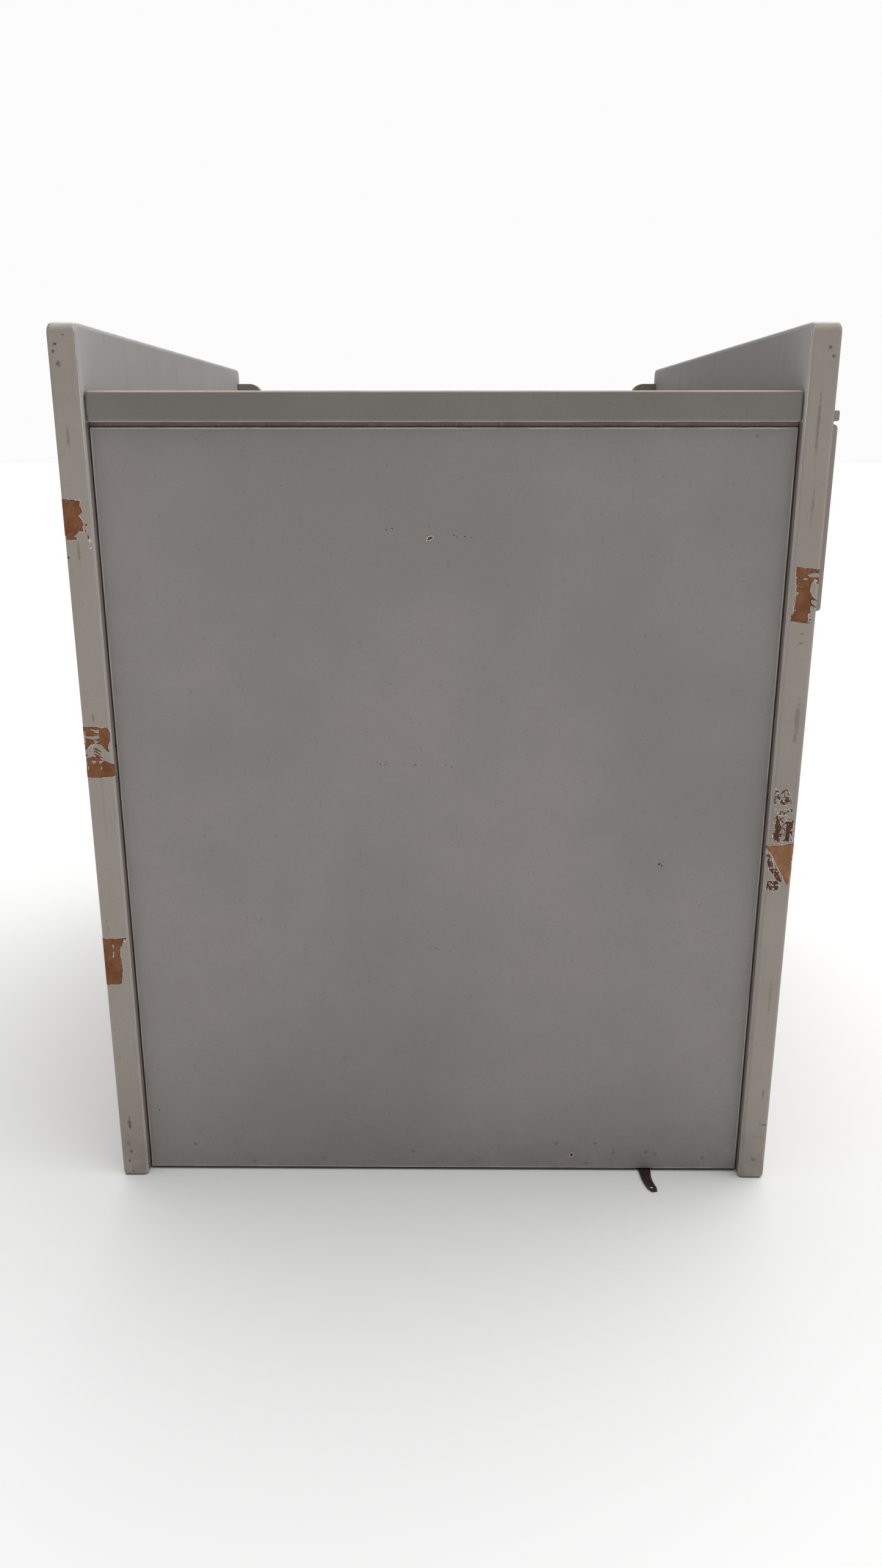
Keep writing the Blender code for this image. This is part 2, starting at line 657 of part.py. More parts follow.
def flap_hinge():
    """A piano hinge that opens flat: one leaf on the cleat's edge, the other on the face of the flap."""
    axis_x, axis_z = FLAP_AXIS
    clear = FLAP_KNUCKLE + HINGE_INSET
    into = clear + HINGE_SEAM
    fixed_x = WIDTH / 2 + CLEAT_THICK + 2 * GAP
    moving_x = FLAP_OUTER + GAP
    leaves = (
        ((fixed_x, 0.0, axis_z + clear), (fixed_x + HINGE_SHEET, 0.0, CLEAT_Z[1] - HINGE_INSET)),
        ((moving_x, 0.0, axis_z - FLAP_LEAF_LONG), (moving_x + HINGE_SHEET, 0.0, axis_z - clear)),
    )
    tabs = (
        ((fixed_x, 0.0, axis_z), (fixed_x + HINGE_SHEET, 0.0, axis_z + into)),
        ((moving_x, 0.0, axis_z - into), (moving_x + HINGE_SHEET, 0.0, axis_z)),
    )
    names = ("flap_hinge_fixed_leaf", "flap_hinge_moving_leaf", "flap_hinge_pin")
    axis = (axis_x, 0.0, axis_z)
    piano_hinge(names, axis, (0.0, 1.0, 0.0), FLAP_HINGE_Y, leaves, tabs, FLAP_KNUCKLE, FLAP_PIN, FLAP)


def stay():
    """A slotted arm that a knob on the end of the leaf slides and clamps in.

    Its pivot lies on the circle that the knob draws round the flap's axis, so the arm turns half as far as the
    flap. On the way the knob passes straight across the circle, which sets the far end of the slot.
    """
    pivot, pin = stay_pivot(), stay_pin()
    hang = pin - Vector(FLAP_AXIS)
    raised = Vector(FLAP_AXIS) + Vector((-hang.y, hang.x))
    slot_near = (raised - pivot).length - STAY_END_PLAY
    slot_far = 2 * STAY_RADIUS + STAY_END_PLAY
    along = Vector((pin.x - pivot.x, 0.0, pin.y - pivot.y)).normalized()
    half = STAY_WIDTH / 2
    end = slot_far + STAY_PIN + STAY_END
    outline = arc((0.0, 0.0), half, 90.0, 270.0, 8) + arc((end, 0.0), half, -90.0, 90.0, 8)
    upright = Matrix.Rotation(math.pi / 2, 4, "X") @ Matrix.Rotation(math.atan2(along.z, along.x), 4, "Z")
    origin = Vector((pivot.x, sum(STAY_Y) / 2, pivot.y))
    arm = plate("stay_arm", outline, STAY_Y[1] - STAY_Y[0], "zinc", origin, upright, STAY)
    ends = (origin + along * slot_near, origin + along * slot_far)
    stay_slot(arm, origin, ends)
    smooth(arm)
    stay_mount(pivot)
    stay_knob(pin)


def stay_slot(arm, origin, ends):
    """Cuts the slot's two round ends, the pivot hole, and the channel between the ends."""
    slot_half = STAY_PIN + STAY_PLAY
    through = Vector((0.0, 2 * CUT_OVER, 0.0))
    window = bmesh.new()
    for centre in (*ends, origin):
        rod(window, centre - through, centre + through, slot_half, 16)
    cut(arm, "stay_round_ends", window)
    channel = bmesh.new()
    run = ends[1] - ends[0]
    turn = Vector((1.0, 0.0, 0.0)).rotation_difference(run)
    size = Vector((run.length, 4 * CUT_OVER, 2 * slot_half))
    bmesh.ops.create_cube(channel, size=1.0, matrix=Matrix.LocRotScale((ends[0] + ends[1]) / 2, turn, size))
    cut(arm, "stay_slot", channel)


def stay_knob(pin):
    profile = [
        (0.0, 0.0135),
        (0.0065, 0.0135),
        (0.0078, 0.0125),
        (0.0078, 0.0045),
        (0.0070, 0.0037),
        (STAY_PIN, 0.0037),
        (STAY_PIN, GAP),
        (0.0, GAP),
    ]
    turned("stay_knob", profile, "grey_plastic", (pin.x, FLAP_Y[1], pin.y), FACING_FRONT, FLAP, 18)


def stay_pivot():
    aside = STAY_PIVOT_X - FLAP_AXIS[0]
    return Vector((STAY_PIVOT_X, FLAP_AXIS[1] + math.sqrt(STAY_RADIUS**2 - aside**2)))


def stay_pin():
    x = FLAP_OUTER - FLAP_THICK / 2
    aside = x - FLAP_AXIS[0]
    return Vector((x, FLAP_AXIS[1] - math.sqrt(STAY_RADIUS**2 - aside**2)))


def stay_mount(pivot):
    """The bent bracket on the side panel and the rivet that the stay turns on."""
    wall = WIDTH / 2 + GAP
    near, far = STAY_Y[0] - HINGE_INSET - BRACKET_SHEET, STAY_Y[0] - HINGE_INSET
    foot = bmesh.new()
    low = (wall, near, pivot.y - BRACKET_HALF)
    block(foot, low, (wall + BRACKET_SHEET, STAY_Y[0] + BRACKET_FOOT, pivot.y + BRACKET_HALF))
    bracket = add_object("stay_bracket", foot, "zinc", (pivot.x, STAY_Y[0], pivot.y), CABINET)
    tab = bmesh.new()
    low = (wall + BRACKET_SHEET / 2, near, pivot.y - TAB_HALF)
    block(tab, low, (pivot.x + TAB_END, far, pivot.y + TAB_HALF))
    cut(bracket, "stay_bracket_tab", tab, "UNION")
    bore = bmesh.new()
    start = (pivot.x, near - CUT_OVER, pivot.y)
    rod(bore, start, (pivot.x, far + CUT_OVER, pivot.y), STAY_PIN + GAP)
    cut(bracket, "stay_bracket_bore", bore)
    rivet = [
        (0.0, 0.0042),
        (0.0035, 0.0042),
        (0.0045, 0.0035),
        (0.0045, 0.0024),
        (STAY_PIN, 0.0024),
        (STAY_PIN, -0.0030),
        (0.0, -0.0030),
    ]
    turned("stay_rivet", rivet, "zinc", (pivot.x, STAY_Y[0], pivot.y), FACING_FRONT, CABINET, 16)


def floor_lug():
    """A cranked strap with an eye, held by one screw to a block under the bottom board."""
    pivot, tip = Vector((*LUG_PIVOT, 0.0)), Vector((*LUG_TIP, 0.0))
    length = (tip - pivot).length
    low, high, thick = GAP, LUG_RAISE, LUG_THICK
    bend_start, bend_end = LUG_CRANK
    side_view = [
        (length, low),
        (length, low + thick),
        (bend_end + GAP, low + thick),
        (bend_start + GAP, high + thick),
        (-LUG_TAIL, high + thick),
        (-LUG_TAIL, high),
        (bend_start, high),
        (bend_end, low),
    ]
    heading = math.atan2(tip.y - pivot.y, tip.x - pivot.x)
    turn = Matrix.Rotation(heading, 4, "Z") @ Matrix.Rotation(math.pi / 2, 4, "X")
    strap = plate("floor_lug", side_view, LUG_WIDTH, "brown_steel", pivot, turn, LUG)
    upward = Vector((0.0, 0.0, high))
    eye = tip - (tip - pivot).normalized() * LUG_EYE_IN
    holes = bmesh.new()
    rod(holes, eye - upward, eye + upward, LUG_HOLE, 14)
    rod(holes, pivot, pivot + upward * 2, LUG_SCREW, 14)
    cut(strap, "lug_holes", holes)
    lug_fixing(high)


def lug_fixing(strap_z):
    """The block under the bottom board, and the screw that the strap turns on."""
    x, y = LUG_PIVOT
    base = strap_z + LUG_THICK + LUG_BLOCK_PLAY
    wide, deep = LUG_BLOCK
    low = (x - wide, y - deep, base)
    body = board("lug_block", low, (x + wide, y + deep, BOTTOM_Z - GAP), "beech", CRISP_EDGE, 1)
    bore = bmesh.new()
    rod(bore, (x, y, base - CUT_OVER), (x, y, base + LUG_BLOCK_BORE), LUG_SCREW, 12)
    cut(body, "lug_block_bore", bore)
    screw = [
        (0.0, 0.0330),
        (0.0021, 0.0300),
        (0.0021, strap_z - GAP),
        (0.0050, strap_z - GAP),
        (0.0042, 0.0036),
        (0.0, 0.0036),
    ]
    turned("lug_screw", screw, "zinc", (x, y, 0.0), (0.0, 0.0, 0.0), CABINET, 14)


clear_scene()
PARTS = make_collection("projector_stand_cabinet")
CUTTERS = make_collection("cutters")
MATERIALS = {name: make_material(name) for name in COLOURS}
CABINET = make_pivot("cabinet_middle", (0.0, 0.0, 0.0))
CABINET.location = (-sum(BOX_X) / 2, -sum(BOX_Y) / 2, 0.0)
DRAWER = make_pivot("drawer_travel", (0.0, FRONT_Y, RUNNER_Z), CABINET)
DOOR_LEFT = make_pivot("door_left_axis", (-DOOR_AXIS[0], DOOR_AXIS[1], DOOR_BOTTOM), CABINET)
DOOR_RIGHT = make_pivot("door_right_axis", (DOOR_AXIS[0], DOOR_AXIS[1], DOOR_BOTTOM), CABINET)
LOCK = make_pivot("lock_axis", (LOCK_X, FRONT_Y, LOCK_Z), DOOR_RIGHT)
FLAP = make_pivot("flap_axis", (FLAP_AXIS[0], FLAP_Y[0], FLAP_AXIS[1]), CABINET)
STAY = make_pivot("stay_axis", (stay_pivot().x, STAY_Y[0], stay_pivot().y), CABINET)
LUG = make_pivot("lug_axis", (*LUG_PIVOT, 0.0), CABINET)

carcass()
drawer()
door(-1, DOOR_LEFT)
lock(door(1, DOOR_RIGHT))
door_hinge(-1, DOOR_LEFT)
door_hinge(1, DOOR_RIGHT)
catches()
flap()
floor_lug()
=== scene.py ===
"""The look of the projector stand cabinet: camera, light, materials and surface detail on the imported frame.

Metres, +Z up. The back of the cabinet faces -Y and its doors face +Y.
Marks on the rear edges of the side panels are given in millimetres: inwards from the panel's outer face, and up
from the floor.
"""

import math
import random

import bmesh
import bpy
import numpy as np
from mathutils import Matrix, Vector


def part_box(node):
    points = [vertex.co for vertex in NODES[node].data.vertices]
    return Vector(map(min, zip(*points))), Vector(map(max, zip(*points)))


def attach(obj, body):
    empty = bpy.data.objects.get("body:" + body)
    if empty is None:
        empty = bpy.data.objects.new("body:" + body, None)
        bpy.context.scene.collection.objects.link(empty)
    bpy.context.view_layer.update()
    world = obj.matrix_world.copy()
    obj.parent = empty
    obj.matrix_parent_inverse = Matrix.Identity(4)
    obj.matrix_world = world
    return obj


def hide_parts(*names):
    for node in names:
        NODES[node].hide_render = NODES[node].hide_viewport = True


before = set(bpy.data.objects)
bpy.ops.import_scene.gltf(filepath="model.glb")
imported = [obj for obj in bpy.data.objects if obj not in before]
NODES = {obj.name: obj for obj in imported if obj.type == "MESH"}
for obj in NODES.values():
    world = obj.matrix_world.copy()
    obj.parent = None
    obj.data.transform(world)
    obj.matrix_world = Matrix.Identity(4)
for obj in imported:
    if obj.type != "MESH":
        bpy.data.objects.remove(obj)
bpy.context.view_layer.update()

MM = 0.001
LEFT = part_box("side_left")
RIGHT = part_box("side_right")
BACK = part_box("back_panel")
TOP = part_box("top_board")
REAR_Y = LEFT[0].y
MIDDLE_X = (LEFT[0].x + RIGHT[1].x) / 2
EDGE_ROUND = 0.004
PANEL = RIGHT[1].x - RIGHT[0].x
STEP = 0.18 * MM

# The floor lug's strap, in cabinet coordinates, and its edges as (from the tip, across) in millimetres
LUG_PIVOT, LUG_TIP = Vector((0.199, 0.052)), Vector((0.2088, -0.0235))
LUG_LENGTH = (LUG_TIP - LUG_PIVOT).length / MM
LUG_RIGHT = [(0.3, 2.9), (4.5, 3.6), (9.0, 3.0), (14.0, 2.6), (21.0, 3.0), (28.0, 4.6), (35.0, 6.0)]
LUG_LEFT = [(35.0, -6.0), (28.0, -6.4), (21.0, -6.8), (14.0, -6.4), (9.0, -5.8), (5.5, -5.0)]
LUG_LEFT += [(2.5, -3.6), (0.2, -2.2)]


# ---------------------------------------------------------------- camera, light and floor


def make_camera():
    """The photograph was taken from 1 m behind the cabinet and 0.72 m up, looking down by 17 degrees."""
    data = bpy.data.cameras.new("photo_camera")
    data.sensor_width = 36.0
    data.lens = 26.474
    camera = bpy.data.objects.new("photo_camera", data)
    camera.location = (MIDDLE_X + 0.0061, REAR_Y - 0.9955, 0.7165)
    camera.rotation_euler = (math.radians(90.0 - 16.932), 0.0, math.radians(0.452))
    bpy.context.scene.collection.objects.link(camera)
    bpy.context.scene.camera = camera


def wide_sun(name, shines_along, strength, angle):
    """A sun so wide that it acts as an even softbox over the whole floor."""
    data = bpy.data.lights.new(name, "SUN")
    data.energy = strength
    data.angle = math.radians(angle)
    lamp = bpy.data.objects.new(name, data)
    lamp.rotation_euler = Vector(shines_along).to_track_quat("-Z", "Y").to_euler()
    bpy.context.scene.collection.objects.link(lamp)


def make_studio():
    """One very wide sun over an even pale world, seen as near white behind the cabinet."""
    scene = bpy.context.scene
    scene.view_settings.view_transform = "Standard"
    world = bpy.data.worlds.new("studio")
    scene.world = world
    world.use_nodes = True
    nodes, links = world.node_tree.nodes, world.node_tree.links
    soft = nodes["Background"]
    soft.inputs["Color"].default_value = (0.95, 0.98, 1.0, 1.0)
    soft.inputs["Strength"].default_value = 0.13
    pale = nodes.new("ShaderNodeBackground")
    pale.inputs["Color"].default_value = (0.97, 0.97, 0.97, 1.0)
    path = nodes.new("ShaderNodeLightPath")
    choose = nodes.new("ShaderNodeMixShader")
    links.new(path.outputs["Is Camera Ray"], choose.inputs[0])
    links.new(soft.outputs[0], choose.inputs[1])
    links.new(pale.outputs[0], choose.inputs[2])
    links.new(choose.outputs[0], nodes["World Output"].inputs[0])
    wide_sun("ceiling_softbox", (-0.20, -0.20, -1.0), 3.55, 86.0)


def make_floor():
    """A plain pale floor, wide enough to reach the horizon."""
    shape = bmesh.new()
    bmesh.ops.create_circle(shape, cap_ends=True, segments=96, radius=30.0)
    mesh = bpy.data.meshes.new("studio_floor")
    shape.to_mesh(mesh)
    shape.free()
    made = Material("studio_floor")
    cloud = made.noise(1.3, 4.0)
    made.colour(made.mix(cloud, (0.86, 0.86, 0.855), (0.89, 0.89, 0.885)))
    made.shader.inputs["Roughness"].default_value = 0.9
    made.shader.inputs["Specular IOR Level"].default_value = 0.2
    mesh.materials.append(made.material)
    floor = bpy.data.objects.new("studio_floor", mesh)
    bpy.context.scene.collection.objects.link(floor)


# ---------------------------------------------------------------- materials


class Material:
    """A node material on the object's own coordinates, which are metres in the part's frame."""

    def __init__(self, name):
        self.material = bpy.data.materials.new(name)
        self.material.use_nodes = True
        self.tree = self.material.node_tree
        self.shader = self.tree.nodes["Principled BSDF"]
        self.place = self.node("TexCoord").outputs["Object"]

    def node(self, kind, values=(), **settings):
        made = self.tree.nodes.new("ShaderNode" + kind)
        for key, setting in settings.items():
            setattr(made, key, setting)
        for key, value in dict(values).items():
            self.put(made.inputs[key], value)
        return made

    def put(self, socket, value):
        if isinstance(value, bpy.types.NodeSocket):
            self.tree.links.new(value, socket)
        elif isinstance(value, (tuple, list)) and len(value) == 3 and socket.type == "RGBA":
            socket.default_value = (*value, 1.0)
        else:
            socket.default_value = value

    def math(self, operation, first, second=0.0, clamp=False):
        return self.node("Math", {0: first, 1: second}, operation=operation, use_clamp=clamp).outputs[0]

    def vector(self, operation, first, second=(0.0, 0.0, 0.0)):
        made = self.node("VectorMath", {0: first, 1: second}, operation=operation)
        return made.outputs["Value" if operation in ("LENGTH", "DOT_PRODUCT") else "Vector"]

    def noise(self, scale, detail=3.0, rough=0.5, stretch=None, warp=0.0):
        """Soft noise from 0 to 1 with features about 1 / scale metres across."""
        place = self.place if stretch is None else self.vector("MULTIPLY", self.place, stretch)
        values = {"Vector": place, "Scale": scale, "Detail": detail, "Roughness": rough, "Distortion": warp}
        return self.node("TexNoise", values).outputs[0]

    def fade(self, value, low, high, first=0.0, last=1.0):
        """Goes smoothly from first to last as the value goes from low to high."""
        values = {"Value": value, "From Min": low, "From Max": high, "To Min": first, "To Max": last}
        return self.node("MapRange", values, interpolation_type="SMOOTHSTEP").outputs[0]

    def mix(self, factor, first, second, blend="MIX"):
        made = self.node("Mix", {0: factor, 6: first, 7: second}, data_type="RGBA", blend_type=blend)
        return made.outputs[2]

    def axis(self, name):
        parts = self.node("SeparateXYZ", {0: self.place})
        return parts.outputs[name]

    def colour(self, value):
        self.put(self.shader.inputs["Base Color"], value)

    def rough(self, value):
        self.put(self.shader.inputs["Roughness"], value)

    def bump(self, height, strength, distance):
        made = self.node("Bump", {"Height": height, "Strength": strength, "Distance": distance})
        self.put(self.shader.inputs["Normal"], made.outputs[0])


def dress(made, *names):
    """Gives CAD nodes a material."""
    for name in names:
        NODES[name].material_slots[0].material = made.material


def soften(*names):
    """Smooth shading over the facets of rounded edges and turned faces, with flat faces left flat."""
    for name in names:
        node = NODES[name]
        node.data.shade_smooth()
        weld = node.modifiers.new("weld", "WELD")
        weld.merge_threshold = 0.00001
        split = node.modifiers.new("split", "EDGE_SPLIT")
        split.split_angle = math.radians(35.0)
        weigh = node.modifiers.new("weigh", "WEIGHTED_NORMAL")
        weigh.keep_sharp = False
        weigh.weight = 90


def foil(name, light, dark, marks=(), grime=0.0, streaks=0.0, painted_light_and_marks=None):
    """Melamine foil: a faint cloudy tone, a pearl grain, a soft sheen, and grime and smudges where asked.

    marks holds smudges as (place, half sizes, strength), in metres. The optional function for painted light and
    marks changes the tone: painted highlights, painted shade, dirt and dark joints.
    """
    made = Material(name)
    cloud = made.noise(4.2, 5.0, 0.55)
    tone = made.mix(made.fade(cloud, 0.36, 0.64), dark, light)
    mottle = made.noise(38.0, 4.0, 0.6)
    tone = made.mix(made.fade(mottle, 0.40, 0.75, 0.0, 0.25), tone, dark)
    pearl = made.noise(640.0, 2.0, 0.6)
    tone = made.mix(made.fade(pearl, 0.30, 0.72, 0.0, 0.16), tone, [c * 0.72 for c in dark])
    fleck = made.noise(210.0, 1.0, 0.4)
    tone = made.mix(made.fade(fleck, 0.68, 0.80, 0.0, 0.20), tone, [c * 0.45 for c in dark])
    shade = None
    if streaks:
        fine = made.noise(1.0, 4.0, 0.6, stretch=(150.0, 90.0, 5.0))
        broad = made.noise(1.0, 2.0, 0.5, stretch=(60.0, 40.0, 9.0))
        both = made.math("MULTIPLY", made.fade(fine, 0.50, 0.72), made.fade(broad, 0.42, 0.62))
        shade = made.math("MULTIPLY", both, streaks)
    if grime:
        low = made.fade(made.axis("Z"), 0.0, 0.10, grime, 0.0)
        patchy = made.math("MULTIPLY", low, made.fade(made.noise(55.0, 4.0, 0.65), 0.34, 0.66))
        shade = patchy if shade is None else made.math("MAXIMUM", shade, patchy)
    if marks:
        ragged = made.noise(260.0, 4.0, 0.7)
        for place, halves, strength in marks:
            away = made.vector("SUBTRACT", made.place, place)
            near = made.vector("LENGTH", made.vector("DIVIDE", away, halves))
            spot = made.math("SUBTRACT", made.fade(near, 0.1, 1.15, 1.0, 0.0), 0.30)
            spot = made.math("ADD", spot, made.math("MULTIPLY", made.math("SUBTRACT", ragged, 0.5), 1.7))
            blot = made.math("MULTIPLY", made.fade(spot, 0.05, 0.75), made.fade(near, 0.7, 1.3, strength, 0.0))
            shade = blot if shade is None else made.math("MAXIMUM", shade, blot)
    # Painted highlights and painted shade, with dirt and dark joints, from the function given.
    if painted_light_and_marks:
        tone = painted_light_and_marks(made, tone)
    if shade is not None:
        tone = made.mix(shade, tone, (0.055, 0.045, 0.040))
    made.colour(tone)
    made.rough(made.fade(made.noise(24.0, 3.0, 0.6), 0.30, 0.70, 0.40, 0.54))
    made.shader.inputs["Specular IOR Level"].default_value = 0.42
    height = made.math("ADD", made.math("MULTIPLY", pearl, 0.5), made.math("MULTIPLY", mottle, 0.6))
    made.bump(height, 0.12, 0.0004)
    return made


def all_of(made, *masks):
    """Masks multiplied together."""
    whole = masks[0]
    for mask in masks[1:]:
        whole = made.math("MULTIPLY", whole, mask)
    return whole


def side_painted_light(side):
    """A side panel: painted light on its inner face, painted shade in the recess beside the back panel, painted
    highlights on its inner rounded edge and its top, and a darker outer rounding near the rear.
    """
    inner = LEFT[1].x if side < 0 else RIGHT[0].x

    def painted_light_and_marks(made, tone):
        depth = made.math("MULTIPLY", made.math("SUBTRACT", made.axis("X"), inner), float(side))
        behind = made.math("SUBTRACT", made.axis("Y"), REAR_Y)
        height = made.axis("Z")
        ragged = made.math("MULTIPLY", made.math("SUBTRACT", made.noise(75.0, 4.0, 0.6), 0.5), 0.0011)
        broken = made.fade(made.noise(1.0, 3.0, 0.6, stretch=(140.0, 140.0, 26.0)), 0.30, 0.62, 0.25, 1.0)
        # Painted light: the inner face is painted paler and cooler than the rear edge, for the light that falls on
        # it.
        inside = made.fade(depth, 0.0003, 0.0012, 1.0, 0.0)
        tone = made.mix(inside, tone, (0.545, 0.520, 0.505))
        # Painted shade: the recess beside the back panel, below the top board, is painted dark brown.
        past = made.fade(made.math("ADD", behind, ragged), 0.0035, 0.0048)
        recess_shade = all_of(made, inside, past, made.fade(behind, 0.0135, 0.0140, 1.0, 0.0))
        recess_shade = all_of(made, recess_shade, made.fade(height, 0.7244, 0.7252, 1.0, 0.0))
        tone = made.mix(recess_shade, tone, (0.30, 0.235, 0.205))
        # Painted highlight: a pale broken line along the inner rounded edge, brighter towards the top.
        round_in = made.math("ABSOLUTE", made.math("SUBTRACT", made.math("SUBTRACT", depth, behind), ragged))
        on_round = made.fade(depth, 0.0022, 0.0030, 1.0, 0.0)
        line = all_of(made, made.fade(round_in, 0.0001, 0.0008, 1.0, 0.0), on_round)
        brighter_up = made.fade(height, 0.66, 0.74, 0.30, 0.95)
        tone = made.mix(all_of(made, line, broken, brighter_up), tone, (0.86, 0.83, 0.79))
        # Painted highlight: the top end of the panel is painted pale.
        crown_highlight = made.fade(made.math("ADD", height, ragged), 0.8008, 0.8024)
        tone = made.mix(made.math("MULTIPLY", crown_highlight, 0.75), tone, (0.86, 0.83, 0.79))
        outer = made.fade(depth, 0.0236, 0.0247)
        near_rear = made.fade(behind, 0.004, 0.006, 0.55, 0.0)
        return made.mix(all_of(made, outer, near_rear), tone, (0.16, 0.125, 0.105))

    return painted_light_and_marks


def panel_highlight_and_joints(made, tone):
    """The back panel's rounded edges carry a painted highlight, and its joints are dark with dirt."""
    ragged = made.math("MULTIPLY", made.math("SUBTRACT", made.noise(75.0, 4.0, 0.6), 0.5), 0.0011)
    broken = made.fade(made.noise(26.0, 4.0, 0.6), 0.30, 0.58, 0.25, 0.9)
    from_middle = made.math("ABSOLUTE", made.math("SUBTRACT", made.axis("X"), MIDDLE_X))
    half = (BACK[1].x - BACK[0].x) / 2
    side_gap = made.math("SUBTRACT", half, from_middle)
    top_gap = made.math("SUBTRACT", BACK[1].z, made.axis("Z"))
    low_gap = made.math("SUBTRACT", made.axis("Z"), BACK[0].z)
    gap = made.math("MINIMUM", made.math("MINIMUM", side_gap, top_gap), low_gap)
    gap = made.math("ADD", gap, ragged)
    # Painted highlight: a pale broken line just inside the panel's edges.
    line = made.fade(made.math("ABSOLUTE", made.math("SUBTRACT", gap, 0.0011)), 0.0002, 0.0008, 1.0, 0.0)
    tone = made.mix(made.math("MULTIPLY", line, broken), tone, (0.70, 0.67, 0.63))
    return made.mix(made.fade(gap, 0.0000, 0.0005, 0.8, 0.0), tone, (0.12, 0.09, 0.075))


def rail_highlight_and_dirt(made, tone):
    """The top board's rear edge: painted highlights along its top and bottom, and dirty at its left end."""
    low, high = TOP
    broken = made.fade(made.noise(30.0, 4.0, 0.6), 0.28, 0.55, 0.45, 1.0)
    rear = made.fade(made.axis("Y"), low.y + 0.005, low.y + 0.007, 1.0, 0.0)
    # Painted highlight: the top rounding of the rear edge is painted pale.
    crown_highlight = made.fade(made.axis("Z"), high.z - 0.0016, high.z - 0.0006)
    tone = made.mix(all_of(made, rear, crown_highlight, broken), tone, (0.46, 0.375, 0.315))
    # Painted highlight: a fainter pale line along the bottom of the rear edge.
    foot = made.fade(made.axis("Z"), low.z + 0.0005, low.z + 0.0013, 0.5, 0.0)
    tone = made.mix(all_of(made, rear, foot, broken), tone, (0.62, 0.59, 0.55))
    blotch = made.fade(made.noise(190.0, 4.0, 0.7), 0.40, 0.62)
    dirt = all_of(made, made.fade(made.axis("X"), low.x + 0.0006, low.x + 0.0042, 0.9, 0.0), blotch)
    return made.mix(dirt, tone, (0.085, 0.050, 0.035))


def bare_board(name, light, dark, edge=False):
    """Fibreboard where the foil was torn off."""
    made = Material(name)
    cloud = made.noise(95.0, 4.0, 0.6)
    tone = made.mix(made.fade(cloud, 0.32, 0.68), dark, light)
    fibre = made.noise(1.0, 4.0, 0.65, stretch=(900.0, 700.0, 260.0))
    tone = made.mix(made.fade(fibre, 0.42, 0.74, 0.0, 0.55), tone, [c * 0.55 for c in dark])
    pale = made.noise(1.0, 2.0, 0.5, stretch=(700.0, 700.0, 150.0), warp=0.6)
    tone = made.mix(made.fade(pale, 0.66, 0.80, 0.0, 0.45), tone, [min(1.0, c * 1.9) for c in light])
    made.colour(tone)
    made.rough(0.92)
    made.shader.inputs["Specular IOR Level"].default_value = 0.15
    made.bump(fibre, 0.6 if edge else 0.9, 0.0005)
    return made


def torn_paper():
    """The pale torn layer that shows as a rim round bare board."""
    made = Material("torn_foil_paper")
    fluff = made.noise(900.0, 4.0, 0.7)
    tone = made.mix(made.fade(fluff, 0.25, 0.75), (0.58, 0.49, 0.43), (0.88, 0.83, 0.77))
    made.colour(tone)
    made.rough(0.9)
    made.bump(fluff, 0.5, 0.0003)
    return made


def metal(name, colour, rough, stretch, dark=0.75, spots=0.0, spot_colour=(0.10, 0.06, 0.035)):
    """Plated or raw steel with fine drawn lines, and spots of rust or lost plating."""
    made = Material(name)
    lines = made.noise(1.0, 4.0, 0.6, stretch=stretch)
    tone = made.mix(made.fade(lines, 0.25, 0.75), [c * dark for c in colour], colour)
    cloud = made.noise(60.0, 4.0, 0.6)
    if spots:
        rust = made.fade(made.noise(170.0, 5.0, 0.7), 0.74 - spots * 0.3, 0.80 - spots * 0.2)
        tone = made.mix(rust, tone, spot_colour)
        made.put(made.shader.inputs["Metallic"], made.math("SUBTRACT", 1.0, rust, clamp=True))
    else:
        made.shader.inputs["Metallic"].default_value = 1.0
    made.colour(tone)
    made.rough(made.fade(cloud, 0.30, 0.70, rough - 0.06, rough + 0.10))
    made.bump(lines, 0.10, 0.0002)
    return made


def plastic(name, colour, rough):
    """Moulded plastic with a fine grain."""
    made = Material(name)
    grain = made.noise(1400.0, 2.0, 0.6)
    cloud = made.noise(70.0, 4.0, 0.6)
    made.colour(made.mix(made.fade(cloud, 0.3, 0.7), [c * 0.88 for c in colour], colour))
    made.rough(made.fade(cloud, 0.3, 0.7, rough - 0.05, rough + 0.08))
    made.bump(grain, 0.15, 0.0002)
    return made


def bare_wood(name, stretch, light, dark):
    """Straight-grained beech with small dark flecks along the grain."""
    made = Material(name)
    bands = made.noise(1.0, 4.0, 0.55, stretch=stretch, warp=0.5)
    tone = made.mix(made.fade(bands, 0.30, 0.70), dark, light)
    fleck = made.noise(1.0, 2.0, 0.5, stretch=[s * 5.0 for s in stretch])
    tone = made.mix(made.fade(fleck, 0.62, 0.72, 0.0, 0.6), tone, [c * 0.55 for c in dark])
    made.colour(tone)
    made.rough(made.fade(bands, 0.3, 0.7, 0.52, 0.68))
    made.bump(fleck, 0.2, 0.0003)
    return made


# ---------------------------------------------------------------- drawn shapes


def value_noise(x, y, size, seed):
    """Smooth noise from -1 to 1 on arrays of points, with features of the given size."""
    x, y = x / size, y / size
    col, row = np.floor(x).astype(np.int64), np.floor(y).astype(np.int64)
    fx, fy = x - col, y - row
    fx, fy = fx * fx * (3 - 2 * fx), fy * fy * (3 - 2 * fy)

    def corner(c, r):
        mixed = (c * 374761393 + r * 668265263 + seed * 974634777) & 0x7FFFFFFF
        mixed = ((mixed ^ (mixed >> 13)) * 1274126177) & 0x7FFFFFFF
        return ((mixed ^ (mixed >> 16)) & 0xFFFF) / 32767.5 - 1.0

    low = corner(col, row) * (1 - fx) + corner(col + 1, row) * fx
    high = corner(col, row + 1) * (1 - fx) + corner(col + 1, row + 1) * fx
    return low * (1 - fy) + high * fy


